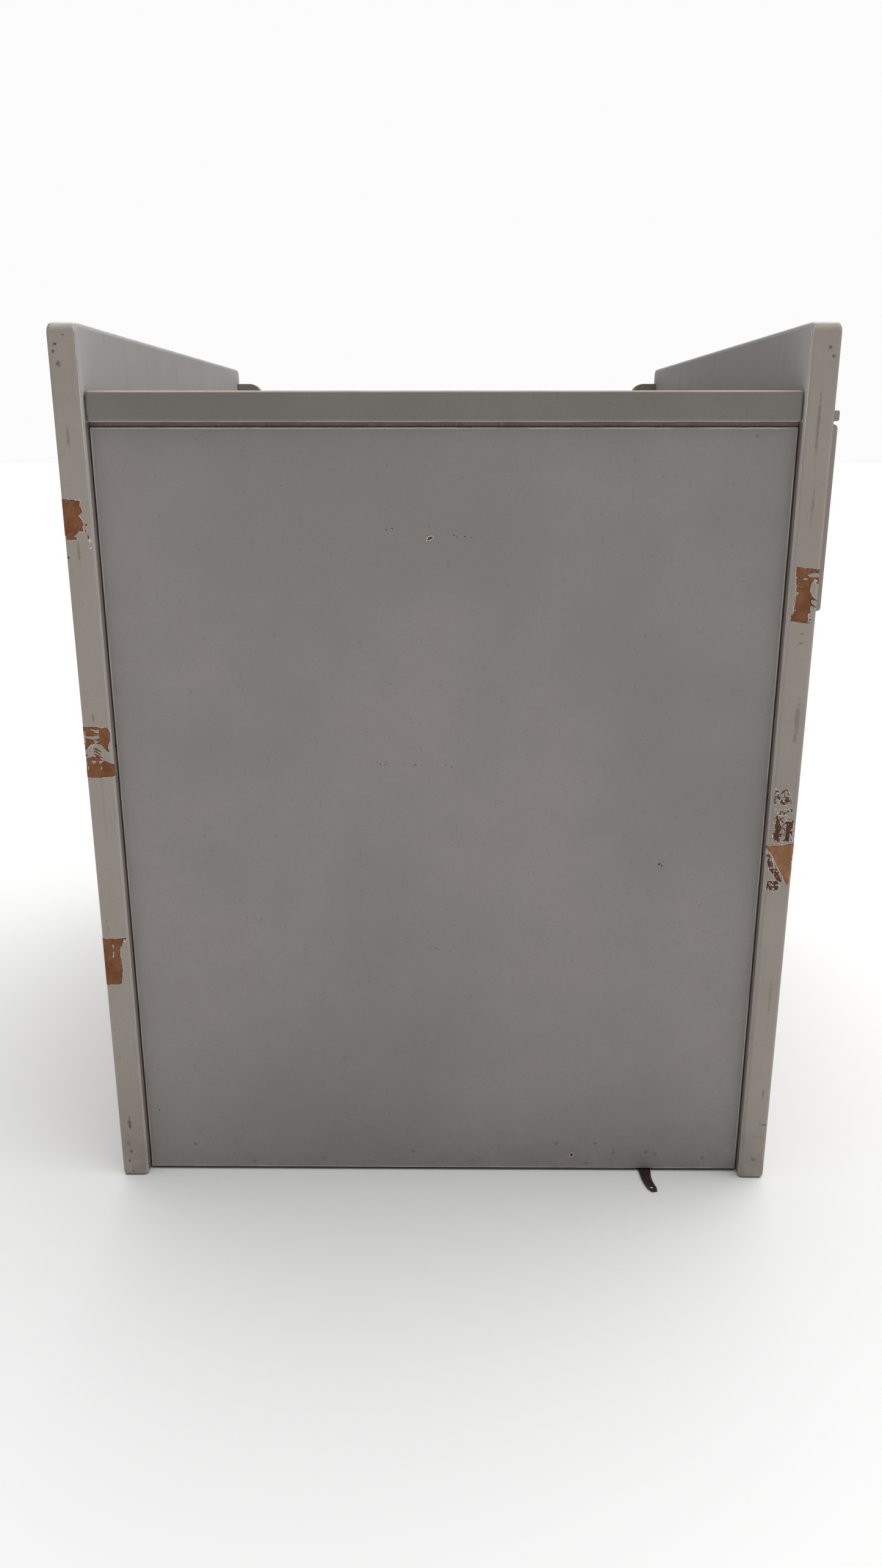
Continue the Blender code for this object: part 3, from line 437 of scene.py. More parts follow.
def inside_distance(x, y, outline):
    """Distance of each point inside a closed outline, negative outside it."""
    points = np.array(outline, float)
    nearest = np.full(x.shape, 1e9)
    inside = np.zeros(x.shape, bool)
    for (ax, ay), (bx, by) in zip(points, np.roll(points, -1, axis=0)):
        dx, dy = bx - ax, by - ay
        along = np.clip(((x - ax) * dx + (y - ay) * dy) / (dx * dx + dy * dy + 1e-12), 0.0, 1.0)
        nearest = np.minimum(nearest, np.hypot(x - ax - along * dx, y - ay - along * dy))
        crosses = (ay > y) != (by > y)
        with np.errstate(divide="ignore", invalid="ignore"):
            at = ax + (y - ay) / (by - ay) * dx
        inside ^= crosses & (x < at)
    return np.where(inside, nearest, -nearest)


def outlines_of(field, low, step):
    """Closed outlines round the places where a grid of numbers is above zero, solid side on the left."""
    inside = field > 0
    count = inside[:-1, :-1].astype(int) + inside[1:, :-1] + inside[:-1, 1:] + inside[1:, 1:]
    follow = {}
    for row, col in zip(*np.nonzero((count > 0) & (count < 4))):
        corners = ((row, col), (row, col + 1), (row + 1, col + 1), (row + 1, col))
        crossings = []
        for n in range(4):
            start, end = corners[n], corners[(n + 1) % 4]
            if inside[start] != inside[end]:
                crossings.append(((min(start, end), max(start, end)), inside[start]))
        for n, (edge, leaving) in enumerate(crossings):
            if leaving:
                follow[edge] = crossings[(n + 1) % len(crossings)][0]
    loops = []
    while follow:
        edge = next(iter(follow))
        loop = []
        while edge in follow:
            (ra, ca), (rb, cb) = edge
            share = field[ra, ca] / (field[ra, ca] - field[rb, cb])
            loop.append((low[0] + step * (ca + share * (cb - ca)), low[1] + step * (ra + share * (rb - ra))))
            edge = follow.pop(edge)
        if len(loop) > 7:
            loops.append(loop)
    return loops


def filled(name, loops, thickness):
    """A flat sheet with the given outlines and holes, drawn in X and Y, as a bmesh."""
    curve = bpy.data.curves.new(name, "CURVE")
    curve.dimensions = "2D"
    curve.fill_mode = "BOTH"
    curve.extrude = thickness / 2
    for loop in loops:
        spline = curve.splines.new("POLY")
        spline.points.add(len(loop) - 1)
        spline.use_cyclic_u = True
        for point, (x, y) in zip(spline.points, loop):
            point.co = (x, y, 0.0, 1.0)
    sketch = bpy.data.objects.new(name, curve)
    flat = bpy.data.meshes.new_from_object(sketch)
    bpy.data.objects.remove(sketch)
    bpy.data.curves.remove(curve)
    shape = bmesh.new()
    shape.from_mesh(flat)
    bpy.data.meshes.remove(flat)
    bmesh.ops.remove_doubles(shape, verts=shape.verts, dist=1e-8)
    return shape


def add_piece(name, shape, made, body="carcass", smooth=False):
    """Turns a bmesh in the part's frame into a piece that rides on a body."""
    mesh = bpy.data.meshes.new(name)
    shape.to_mesh(mesh)
    shape.free()
    mesh.materials.append(made.material)
    if smooth:
        mesh.shade_smooth()
        mesh.set_sharp_from_angle(angle=math.radians(35.0))
    piece = bpy.data.objects.new(name, mesh)
    bpy.context.scene.collection.objects.link(piece)
    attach(piece, body)
    return piece


# ---------------------------------------------------------------- torn foil on the rear edges


def on_rear_edge(shape, side, lift):
    """Lays a sheet, drawn in (distance in from the outer face, height), on a rear edge and round its rounding."""
    for depth in (0.2, 0.5, 0.9, 1.4, 2.0, 2.6, 3.3, 4.0):
        for place in (depth * MM, PANEL - depth * MM):
            geometry = shape.verts[:] + shape.edges[:] + shape.faces[:]
            bmesh.ops.bisect_plane(shape, geom=geometry, plane_co=(place, 0.0, 0.0), plane_no=(1.0, 0.0, 0.0))
    outer = LEFT[0].x if side < 0 else RIGHT[1].x
    for vert in shape.verts:
        across, up, proud = vert.co
        near = max(0.0, min(across, PANEL - across))
        fall = 0.0
        if near < EDGE_ROUND:
            fall = EDGE_ROUND - math.sqrt(EDGE_ROUND**2 - (EDGE_ROUND - near) ** 2)
        slope = 1.0 - near / EDGE_ROUND if near < EDGE_ROUND else 0.0
        towards = -1.0 if across < PANEL / 2 else 1.0
        across = max(0.0, across + towards * slope * (lift + proud))
        vert.co = (outer - side * across, REAR_Y + fall - (lift + proud) * (1.0 - slope * 0.5), up)
    bmesh.ops.recalc_face_normals(shape, faces=shape.faces)


def torn_patch(name, side, window, draw, seed, board, rough=0.45, rim=0.45):
    """Bare board inside a ragged outline, a dark border in it and a pale torn rim round it.

    draw gives the distance inside the drawn shape, in millimetres, for arrays of points in millimetres.
    """
    (low_x, low_z), (high_x, high_z) = window
    across = np.arange(low_x - 1.0, high_x + 1.0, STEP / MM)
    up = np.arange(low_z - 1.5, high_z + 1.5, STEP / MM)
    x, z = np.meshgrid(across, up)
    ragged = value_noise(x, z, 2.3, seed) * rough + value_noise(x, z, 0.8, seed + 1) * rough * 0.55
    depth = draw(x, z) + ragged
    ring = rim * (0.75 + 0.7 * value_noise(x, z, 3.1, seed + 2))
    panel_mm = PANEL / MM
    limit = np.minimum(np.minimum(x, panel_mm - x), np.minimum(z - low_z + 1.2, high_z + 1.2 - z))
    layers = (
        ("rim", depth + np.maximum(ring, 0.08), 0.05, PAPER),
        ("border", depth, 0.09, BOARD_EDGE),
        ("core", depth - 0.40 - 0.25 * value_noise(x, z, 1.6, seed + 3), 0.12, board),
    )
    for layer, field, lift, made in layers:
        field = np.minimum(field, limit)
        field[0, :] = field[-1, :] = field[:, 0] = field[:, -1] = -1.0
        loops = outlines_of(field, (across[0], up[0]), STEP / MM)
        if not loops:
            continue
        loops = [[(px * MM, pz * MM) for px, pz in loop] for loop in loops]
        shape = filled(name + layer, loops, 0.04 * MM)
        on_rear_edge(shape, side, lift * MM)
        add_piece(f"{name}_{layer}", shape, made)


def drawn(outline, holes=(), extras=()):
    """A shape from an outline, with holes cut from it and more outlines added."""

    def depth(x, z):
        value = inside_distance(x, z, outline)
        for hole in holes:
            value = np.minimum(value, -inside_distance(x, z, hole))
        for extra in extras:
            value = np.maximum(value, inside_distance(x, z, extra) + 0.35)
        return value

    return depth


def slit(start, end, width):
    """A thin pointed sliver between two points, as an outline."""
    (ax, az), (bx, bz) = start, end
    length = math.hypot(bx - ax, bz - az)
    nx, nz = -(bz - az) / length * width / 2, (bx - ax) / length * width / 2
    third, most = (ax * 0.7 + bx * 0.3, az * 0.7 + bz * 0.3), (ax * 0.2 + bx * 0.8, az * 0.2 + bz * 0.8)
    return [
        start,
        (third[0] - nx, third[1] - nz),
        (most[0] - nx * 0.6, most[1] - nz * 0.6),
        end,
        (most[0] + nx * 0.6, most[1] + nz * 0.6),
        (third[0] + nx, third[1] + nz),
    ]


def torn_left_upper():
    """The highest patch on the left edge, torn off in one piece."""
    outline = [(-2, 663), (8, 662.8), (17, 662), (16, 658), (17.5, 655), (17, 652), (13.8, 649.6), (15.5, 648)]
    outline += [(17.5, 643.5), (16.3, 639.8), (17, 637), (13.5, 635.8), (9.3, 632.6), (11.3, 631.2), (10.8, 630)]
    outline += [(5.6, 628.9), (2.6, 629.8), (1.2, 633), (-2, 634)]
    specks = [slit((19.2, 643), (20.3, 641.5), 1.2), slit((18.6, 638), (19.4, 636.5), 0.9)]
    specks += [slit((20.6, 633), (21.4, 626.5), 1.1), slit((1.4, 615), (3.6, 614.4), 1.3)]
    specks += [slit((20.6, 624.4), (21.2, 623), 0.8)]
    shape = drawn(outline, (), specks)
    torn_patch("torn_left_upper", -1, ((0, 612), (24, 664)), shape, 11, BOARD_BARE, rough=0.75)


def torn_left_middle():
    """The middle patch on the left edge, with strips of foil left across it."""
    upper = [(-2, 466), (14, 466), (18, 464.6), (20.3, 465.8), (23.2, 464.4), (24.4, 459.5), (23.6, 452.8)]
    upper += [(22, 449), (22.4, 443.4), (20.6, 445.4), (18.6, 446), (14.8, 449.8), (9.6, 450.8), (6.2, 448.6)]
    upper += [(2.9, 445.7), (1.3, 443.4), (1.5, 450.6), (-2, 452)]
    islands = [
        [(7.6, 463.4), (15.2, 463.1), (14.8, 459.6), (11, 460.8)],
        [(2.6, 456.9), (9, 457.3), (14, 457.8), (16.2, 455.2), (8.9, 454.3), (3, 455.8)],
        [(9.4, 453.2), (14.9, 452.2), (11.2, 451)],
        [(1.5, 461.6), (3, 461.6), (2.6, 456), (1.9, 450), (0.6, 450), (0.8, 457.6)],
        [(5.4, 451.4), (9.5, 449.4), (6.2, 450.2)],
    ]
    lower = [(2.2, 436.4), (6.4, 438.4), (11, 438.2), (16.8, 435.2), (24.4, 431.4), (27, 428.9), (27, 419.8)]
    lower += [(23.4, 419.5), (12, 418.7), (-2, 418.4), (1.3, 428.8)]
    lower_holes = [
        [(6.2, 434.4), (10.4, 434.2), (8, 431.7)],
        [(13, 434.6), (16.8, 434.4), (13.4, 431.7)],
        [(13.5, 426.2), (14.3, 429), (15.5, 429), (14.6, 426.3)],
        [(2.3, 429.2), (3, 428.9), (3.1, 426), (2.4, 426)],
    ]
    slits = [slit((8.2, 446.9), (16.6, 442.2), 1.5), slit((9.4, 443.2), (15, 440.2), 1.2)]
    slits += [slit((7.8, 441.3), (17.6, 436.5), 1.6), slit((0.6, 450), (1.6, 449.4), 1.1)]
    slits += [slit((1.6, 440), (2.7, 439.4), 1.2), slit((19.5, 446), (22.6, 442.8), 1.0)]
    upper_depth, lower_depth = drawn(upper, islands, slits), drawn(lower, lower_holes)

    def depth(x, z):
        return np.maximum(upper_depth(x, z), lower_depth(x, z))

    torn_patch("torn_left_middle", -1, ((0, 417), (25, 467)), depth, 23, BOARD_BARE, rough=0.38)


def torn_left_lower():
    """The lowest patch on the left edge, nearly rectangular."""
    outline = [(-2, 260), (12.4, 260.2), (13.4, 259.2), (14.2, 260.6), (23, 261.4), (22.4, 257), (19, 255)]
    outline += [(19.6, 253.4), (17, 251.2), (16.5, 244.7), (17.2, 233.8), (18, 233), (17.4, 223.5)]
    outline += [(15.9, 214.6), (13.4, 212.5), (-2, 212.2)]
    holes = [[(20.9, 259.4), (22, 259), (21.6, 256.8), (20.7, 257.2)], slit((10.2, 254.4), (10.9, 247), 0.9)]
    holes += [slit((10.5, 246.8), (9.4, 240.2), 1.0), slit((1.8, 214.8), (3.4, 214.3), 0.9)]
    torn_patch("torn_left_lower", -1, ((0, 211), (24, 262)), drawn(outline, holes), 37, BOARD_BARE, rough=0.40)


def torn_right_upper():
    """The highest patch on the right edge, with torn tongues towards the outer face."""
    outline = [(21, 608), (18, 606.8), (-2, 605.2), (-2, 596), (0.6, 592), (4.6, 595.6), (7, 593.6), (7.5, 588)]
    outline += [(6, 583), (1.6, 578.8), (6.4, 579.6), (5, 576), (0.2, 572.4), (6, 574.4), (6.6, 571), (4.2, 568)]
    outline += [(7.4, 567.6), (7.2, 558.6), (14.2, 559.8), (21.8, 561), (22.2, 564.8), (20, 568), (19.4, 581.5)]
    outline += [(19.3, 584.7), (20, 597.4), (21, 602.8)]
    holes = [[(11.8, 600.3), (4.6, 602.8), (0.8, 600.8), (0.8, 598.6), (6, 598.4)]]
    holes += [[(5.2, 597.4), (0.8, 595.4), (2.6, 594)], slit((14.2, 597), (9, 597.2), 1.0)]
    holes += [slit((21, 598), (17.6, 598.4), 1.1), slit((17.4, 594.2), (16.9, 593.4), 0.9)]
    holes += [slit((15.3, 590.8), (14.6, 590), 0.9), slit((12.2, 605.6), (11.8, 604.6), 0.8)]
    holes += [slit((18.4, 585.6), (17.7, 584.4), 1.2), slit((19.4, 570.8), (18.8, 570), 0.8)]
    scraps = [slit((5.4, 563.2), (6.0, 561.8), 1.2), slit((5.7, 560), (6.1, 559), 0.9)]
    scraps += [slit((0.1, 579), (0.8, 578), 0.9)]
    shape = drawn(outline, holes, scraps)
    torn_patch("torn_right_upper", 1, ((0, 557), (24, 609)), shape, 53, BOARD_BARE, rough=0.40)


def veined(x, z, regions, seed):
    """Distance inside a net of torn veins within outlines."""
    coarse = value_noise(x, z, 2.9, seed) + 0.7 * value_noise(x, z, 1.4, seed + 1)
    veins = 0.95 - np.abs(coarse + 0.12) * 2.3
    inside = np.full(x.shape, -9.0)
    for region in regions:
        inside = np.maximum(inside, inside_distance(x, z, region))
    return np.minimum(inside * 0.8 + 0.35 * value_noise(x, z, 2.0, seed + 2), veins)


def torn_right_marbled():
    """Half-torn foil above the right edge's lower patch: veins, a row and two upright blobs."""
    region = [(22, 410), (18, 407), (12, 409), (9, 405), (5.4, 398), (6, 395.4)]
    region += [(12, 394.4), (18, 394.4), (22.5, 396)]
    row = [(21, 390), (14, 389), (9, 389.4), (4.4, 391.4), (4.8, 386.4), (12, 384), (16, 385.4), (21, 387)]
    blob_left = [(18.4, 384), (15, 376), (14.4, 370), (15.4, 366), (14.2, 359.8)]
    blob_left += [(20.4, 360.6), (18.9, 366), (19.6, 374)]
    blob_right = [(9.8, 378.6), (3.2, 378), (4.6, 371), (5.8, 366), (5.2, 358.8)]
    blob_right += [(11, 359.4), (9.4, 364), (10, 371)]
    around = [(21.5, 384), (2.6, 383), (2.6, 358.6), (21.5, 358.8)]

    def depth(x, z):
        blobs = np.maximum(inside_distance(x, z, blob_left), inside_distance(x, z, blob_right))
        ridges = 1.5 * np.abs(value_noise(x, z, 3.0, 79)) + 0.25
        blobs = np.minimum(blobs + 0.9 * value_noise(x, z, 2.2, 73), ridges)
        fringe = np.minimum(veined(x, z, [around], 91) - 0.35, inside_distance(x, z, around))
        return np.maximum(np.maximum(veined(x, z, [region, row], 71), blobs), fringe)

    torn_patch("torn_right_marbled", 1, ((2, 358), (24, 411)), depth, 67, BOARD_DARK, rough=0.35, rim=0.42)


def torn_right_lower():
    """The pale triangle on the right edge, and the veined foil beside and below it."""
    outline = [(27, 353.8), (14, 355.6), (-2, 357.6), (-2, 349), (1.2, 346), (0.8, 341), (2.2, 339), (0.6, 334)]
    outline += [(1, 326), (2.6, 324), (2, 318.5), (4, 317.5), (6, 319.5), (8, 323.5), (12, 330.5), (16, 338)]
    outline += [(20, 345.5), (24, 351), (27, 353)]
    torn_patch("torn_right_lower", 1, ((0, 316), (25, 359)), drawn(outline), 83, BOARD_PALE, rough=0.45)
    beside = [(24, 349), (20.4, 342.4), (16.4, 335.4), (12.4, 328), (8.9, 322)]
    beside += [(10, 319.6), (15, 323), (21, 331), (24.4, 342)]
    below = [(22.4, 321), (12, 320.5), (11.5, 312), (16, 310), (22.5, 311.5)]

    def depth(x, z):
        return veined(x, z, [beside, below], 107) + 0.15

    torn_patch("torn_right_fringe", 1, ((6, 308), (25, 351)), depth, 89, BOARD_DARK, rough=0.35, rim=0.42)


# ---------------------------------------------------------------- marks on the back panel


def flake(shape, x, z, length, width, angle, roll, lift=0.06):
    """Adds one small irregular chip on the back panel, standing lift millimetres out of it."""
    count = 9
    points = []
    for n in range(count):
        turn = 2 * math.pi * n / count
        reach = roll.uniform(0.55, 1.15)
        px, pz = math.cos(turn) * length / 2 * reach, math.sin(turn) * width / 2 * reach
        cos, sin = math.cos(angle), math.sin(angle)
        points.append((x + px * cos - pz * sin, z + px * sin + pz * cos))
    top = [shape.verts.new((px, BACK[0].y - lift * MM, pz)) for px, pz in points]
    low = [shape.verts.new((px, BACK[0].y + 0.02 * MM, pz)) for px, pz in points]
    shape.faces.new(top)
    for n in range(count):
        shape.faces.new((top[n], low[n], low[(n + 1) % count], top[(n + 1) % count]))
    shape.faces.new(list(reversed(low)))


def specks(name, made, groups, seed):
    """Small flakes scattered along lines: (start, end, count, largest length), in metres."""
    roll = random.Random(seed)
    shape = bmesh.new()
    for start, end, count, largest in groups:
        lean = math.atan2(end[1] - start[1], end[0] - start[0])
        for n in range(count):
            share = roll.random()
            x = start[0] + (end[0] - start[0]) * share + roll.gauss(0.0, 0.0012)
            z = start[1] + (end[1] - start[1]) * share + roll.gauss(0.0, 0.0012)
            length = largest * roll.uniform(0.25, 1.0)
            width = length * roll.uniform(0.25, 0.7)
            angle = lean + roll.uniform(-0.9, 0.9)
            flake(shape, MIDDLE_X + x, z, length, width, angle, roll)
    bmesh.ops.recalc_face_normals(shape, faces=shape.faces)
    add_piece(name, shape, made)


def chips(name, made, grow, lift):
    """Two places where the foil of the back panel is chipped through."""
    roll = random.Random(19)
    shape = bmesh.new()
    for x, z, length, width, lean in ((-0.0113, 0.630, 6.0, 3.0, 0.35), (0.130, 0.019, 5.6, 4.4, 0.9)):
        flake(shape, MIDDLE_X + x, z, (length + grow) * MM, (width + grow) * MM, lean, roll, lift)
    bmesh.ops.recalc_face_normals(shape, faces=shape.faces)
    add_piece(name, shape, made)


# ---------------------------------------------------------------- floor lug


def on_lug(from_tip, across, up):
    """A point of the strap in the part's frame, from millimetres along, across and above its underside."""
    along = (LUG_TIP - LUG_PIVOT).normalized()
    sideways = Vector((-along.y, along.x))
    flat = LUG_TIP - along * from_tip * MM + sideways * across * MM
    from_pivot = LUG_LENGTH - from_tip
    rise = 6.0 * min(1.0, max(0.0, (24.2 - from_pivot) / 9.5))
    return MIDDLE_X + flat.x, REAR_Y + flat.y, (0.3 + rise + up) * MM


def lug_strap(made, bead_highlight):
    """The lug narrows and bends towards its eye, and its right edge is a low rolled bead in paler steel, a painted
    highlight.
    """
    end = LUG_LENGTH + 7.0
    outline = LUG_RIGHT + [(end - 2.0, 6.0), (end, 4.0), (end, -4.0), (end - 2.0, -6.0)] + LUG_LEFT
    turns = [2 * math.pi * n / 20 for n in range(20)]
    eye = [(6.2 + 2.4 * math.cos(a), -1.0 + 2.4 * math.sin(a)) for a in turns]
    bore = [(LUG_LENGTH + 2.5 * math.cos(a), 2.5 * math.sin(a)) for a in turns]
    shape = filled("lug", [outline, eye, bore], 2.0)
    for station in (LUG_LENGTH - 24.2, LUG_LENGTH - 14.7):
        geometry = shape.verts[:] + shape.edges[:] + shape.faces[:]
        bmesh.ops.bisect_plane(shape, geom=geometry, plane_co=(station, 0.0, 0.0), plane_no=(1.0, 0.0, 0.0))
    for vert in shape.verts:
        vert.co = on_lug(vert.co.x, vert.co.y, vert.co.z + 1.0)
    bmesh.ops.recalc_face_normals(shape, faces=shape.faces)
    strap = add_piece("floor_lug_strap", shape, made, "lug")
    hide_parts("floor_lug")
    bead = bmesh.new()
    rings = []
    for from_tip, across in LUG_RIGHT[:-1]:
        ring = []
        for n in range(8):
            angle = 2 * math.pi * n / 8
            point = on_lug(from_tip, across - 0.5 + 0.6 * math.cos(angle), 1.9 + 0.5 * math.sin(angle))
            ring.append(bead.verts.new(point))
        rings.append(ring)
    for first, second in zip(rings, rings[1:]):
        for n in range(8):
            bead.faces.new((first[n], first[(n + 1) % 8], second[(n + 1) % 8], second[n]))
    bead.faces.new(rings[0])
    bead.faces.new(rings[-1])
    bmesh.ops.recalc_face_normals(bead, faces=bead.faces)
    # The bead's paler steel is a painted highlight along the lug's right edge.
    add_piece("floor_lug_bead", bead, bead_highlight, "lug", smooth=True)


# ---------------------------------------------------------------- screws


def screws(name, made, body, out, places, radius, proud):
    """Cross-recessed screw heads at places in cabinet coordinates, facing out of a surface.

    radius and proud are in millimetres. A proud head is domed, and a nearly flush one is countersunk.
    """
    whole = bmesh.new()
    turns = [2 * math.pi * n / 20 for n in range(20)]
    rim = [(0.80 * radius * math.cos(a), 0.80 * radius * math.sin(a)) for a in turns]
    arm, half = 0.55 * radius, 0.13 * radius
    corner = [(arm, half), (half, half), (half, arm)]
    cross = []
    for quarter in range(4):
        cos, sin = round(math.cos(quarter * math.pi / 2)), round(math.sin(quarter * math.pi / 2))
        cross += [(x * cos - y * sin, x * sin + y * cos) for x, y in corner]
    facing = Vector(out).to_track_quat("Z", "Y").to_matrix().to_4x4()
    for n, place in enumerate(places):
        head = filled("screw", [[(x * MM, y * MM) for x, y in loop] for loop in (rim, cross)], 0.5 * proud * MM)
        bmesh.ops.translate(head, vec=(0.0, 0.0, 0.75 * proud * MM), verts=head.verts)
        size = {"radius1": radius * MM, "radius2": 0.82 * radius * MM, "depth": 0.5 * proud * MM}
        base = bmesh.ops.create_cone(head, cap_ends=True, segments=20, **size)
        bmesh.ops.translate(head, vec=(0.0, 0.0, 0.25 * proud * MM), verts=base["verts"])
        where = Vector((MIDDLE_X + place[0], REAR_Y + place[1], place[2]))
        turned = Matrix.Translation(where) @ facing @ Matrix.Rotation(0.7 * n, 4, "Z")
        bmesh.ops.transform(head, matrix=turned, verts=head.verts)
        part = bpy.data.meshes.new("screw")
        head.to_mesh(part)
        head.free()
        whole.from_mesh(part)
        bpy.data.meshes.remove(part)
    add_piece(name, whole, made, body)


def all_screws(made):
    """Screws of the hinges, handles, strikes and stay bracket."""
    heights = (0.092, 0.188, 0.284, 0.380, 0.476)
    for side, hand in ((-1, "left"), (1, "right")):
        fixed = [(side * 0.2956, 0.7370, z) for z in heights]
        screws(f"hinge_{hand}_case_screws", made, "carcass", (-side, 0, 0), fixed, 3.0, 0.15)
        moving = [(side * 0.2951, 0.7370, z + 0.010) for z in heights]
        screws(f"hinge_{hand}_door_screws", made, f"{hand}_door", (side, 0, 0), moving, 3.0, 0.15)
        handle = [(side * 0.045, 0.7290, z) for z in (0.330, 0.426)]
        screws(f"door_{hand}_handle_screws", made, f"{hand}_door", (0, -1, 0), handle, 3.6, 1.6)
        strike = [(side * 0.0775, 0.7270, 0.490)]
        screws(f"door_{hand}_strike_screw", made, f"{hand}_door", (0, -1, 0), strike, 2.6, 0.3)
    knobs = [(x, 0.7290, 0.585) for x in (-0.064, 0.064)]
    screws("drawer_handle_screws", made, "drawer", (0, -1, 0), knobs, 3.6, 1.6)
    bracket = [(0.3243, 0.7110, z) for z in (0.775, 0.790)]
    screws("stay_bracket_screws", made, "carcass", (1, 0, 0), bracket, 3.0, 1.2)
    stations = [0.140 + 0.0625 * n for n in range(9)]
    fixed = [(0.3498, y, 0.7316) for y in stations]
    screws("flap_hinge_case_screws", made, "carcass", (1, 0, 0), fixed, 2.2, 0.25)
    moving = [(0.3493, y, 0.7125) for y in stations]
    screws("flap_hinge_leaf_screws", made, "side_flap", (1, 0, 0), moving, 2.2, 0.25)


# ---------------------------------------------------------------- build

make_camera()
make_studio()
make_floor()

PAPER = torn_paper()
BOARD_BARE = bare_board("bare_fibreboard", (0.30, 0.130, 0.062), (0.215, 0.085, 0.040))
BOARD_PALE = bare_board("bare_fibreboard_pale", (0.42, 0.215, 0.110), (0.32, 0.155, 0.078))
BOARD_DARK = bare_board("bare_fibreboard_dark", (0.165, 0.080, 0.046), (0.110, 0.050, 0.030))
BOARD_EDGE = bare_board("bare_fibreboard_border", (0.150, 0.062, 0.035), (0.095, 0.040, 0.024), edge=True)


def edge_mark(side, across, height, half_across, half_up, strength):
    """A smudge on a rear edge, from millimetres to metres in the part's frame."""
    outer = LEFT[0].x if side < 0 else RIGHT[1].x
    place = (outer - side * across * MM, REAR_Y, height * MM)
    return place, (half_across * 1.25 * MM, 6 * MM, half_up * 1.15 * MM), min(0.85, strength * 1.45)


LEFT_MARKS = [
    edge_mark(-1, 14.4, 792.5, 2.6, 1.2, 0.55),
    edge_mark(-1, 7.1, 785.5, 2.6, 1.8, 0.60),
    edge_mark(-1, 5.2, 780.0, 1.8, 2.6, 0.55),
    edge_mark(-1, 8.4, 770.5, 2.8, 4.4, 0.45),
    edge_mark(-1, 11.1, 715.0, 2.0, 15.0, 0.22),
    edge_mark(-1, 11.5, 620.0, 1.6, 12.0, 0.25),
    edge_mark(-1, 11.7, 613.9, 1.2, 1.2, 0.40),
    edge_mark(-1, 10.8, 474.0, 1.3, 6.0, 0.30),
    edge_mark(-1, 10.8, 60.0, 2.4, 12.0, 0.50),
    edge_mark(-1, 7.9, 38.0, 2.2, 5.0, 0.35),
    edge_mark(-1, 9.9, 28.0, 2.4, 3.2, 0.55),
    edge_mark(-1, 7.4, 17.4, 1.6, 2.4, 0.55),
    edge_mark(-1, 10.7, 4.9, 2.0, 2.0, 0.40),
    edge_mark(-1, 4.6, 164.6, 1.4, 0.9, 0.35),
    edge_mark(-1, 7.2, 134.6, 1.0, 1.0, 0.35),
    edge_mark(-1, 6.2, 278.6, 1.2, 1.6, 0.40),
    edge_mark(-1, 7.6, 270.2, 1.0, 1.6, 0.45),
]
RIGHT_MARKS = [
    edge_mark(1, 9.0, 783.0, 2.6, 2.4, 0.45),
    edge_mark(1, 6.0, 776.0, 1.6, 2.0, 0.45),
    edge_mark(1, 11.9, 541.9, 2.4, 1.8, 0.35),
    edge_mark(1, 11.0, 550.0, 3.0, 1.0, 0.30),
    edge_mark(1, 9.0, 456.0, 3.0, 8.0, 0.22),
    edge_mark(1, 12.0, 660.0, 1.6, 30.0, 0.20),
    edge_mark(1, 13.5, 722.0, 2.0, 50.0, 0.26),
    edge_mark(1, 8.6, 474.0, 3.2, 24.0, 0.22),
    edge_mark(1, 10.0, 200.0, 2.0, 26.0, 0.20),
    edge_mark(1, 5.0, 61.5, 7.0, 1.3, 0.60),
    edge_mark(1, 9.0, 48.0, 6.0, 0.8, 0.45),
    edge_mark(1, 12.0, 22.0, 4.0, 3.0, 0.40),
    edge_mark(1, 8.0, 96.0, 1.4, 8.0, 0.35),
]

EDGE_LIGHT, EDGE_DARK = (0.403, 0.351, 0.308), (0.352, 0.305, 0.266)
GREY_LIGHT, GREY_DARK = (0.330, 0.301, 0.281), (0.280, 0.259, 0.244)
RAIL_LIGHT, RAIL_DARK = (0.244, 0.223, 0.200), (0.205, 0.189, 0.170)
BACK_SMUDGES = [(0.153, 0.032), (0.172, 0.022), (0.145, 0.009), (0.214, 0.020), (0.114, 0.032), (0.205, 0.023)]
BACK_SMUDGES += [(-0.250, 0.030), (-0.120, 0.014), (-0.030, 0.022), (0.030, 0.012), (0.262, 0.016), (-0.190, 0.010)]
BACK_MARKS = [((MIDDLE_X + x, BACK[0].y, z), (4.2 * MM, 6 * MM, 3.4 * MM), 0.42) for x, z in BACK_SMUDGES]
BACK_MARKS += [((MIDDLE_X + 0.262, BACK[0].y, 0.736 - 0.022), (2.0 * MM, 6 * MM, 3.0 * MM), 0.40)]
sides = {"grime": 0.22, "streaks": 0.12}
dress(foil("foil_side_left", EDGE_LIGHT, EDGE_DARK, LEFT_MARKS, painted_light_and_marks=side_painted_light(-1), **sides), "side_left")
dress(foil("foil_side_right", EDGE_LIGHT, EDGE_DARK, RIGHT_MARKS, painted_light_and_marks=side_painted_light(1), **sides), "side_right")
white = foil("foil_white", EDGE_LIGHT, EDGE_DARK, grime=0.18)
dress(white, "bottom_board", "drawer_divider", "front_lip", "plinth", "shelf", "flap_cleat", "flap_leaf")
dress(white, "drawer_front", "door_left", "door_right")
dress(foil("foil_grey_board", GREY_LIGHT, GREY_DARK, BACK_MARKS, grime=0.08, painted_light_and_marks=panel_highlight_and_joints), "back_panel")
dress(foil("foil_grey_top", RAIL_LIGHT, RAIL_DARK, painted_light_and_marks=rail_highlight_and_dirt), "top_board")
dress(bare_board("dark_fibreboard", (0.225, 0.185, 0.165), (0.185, 0.150, 0.132)), "joint_strip")
BEECH = (0.56, 0.37, 0.20), (0.43, 0.26, 0.13)
beech_across = bare_wood("beech_across", (6.0, 160.0, 160.0), *BEECH)
dress(beech_across, "top_batten", "drawer_back", "drawer_bottom", "lug_block")
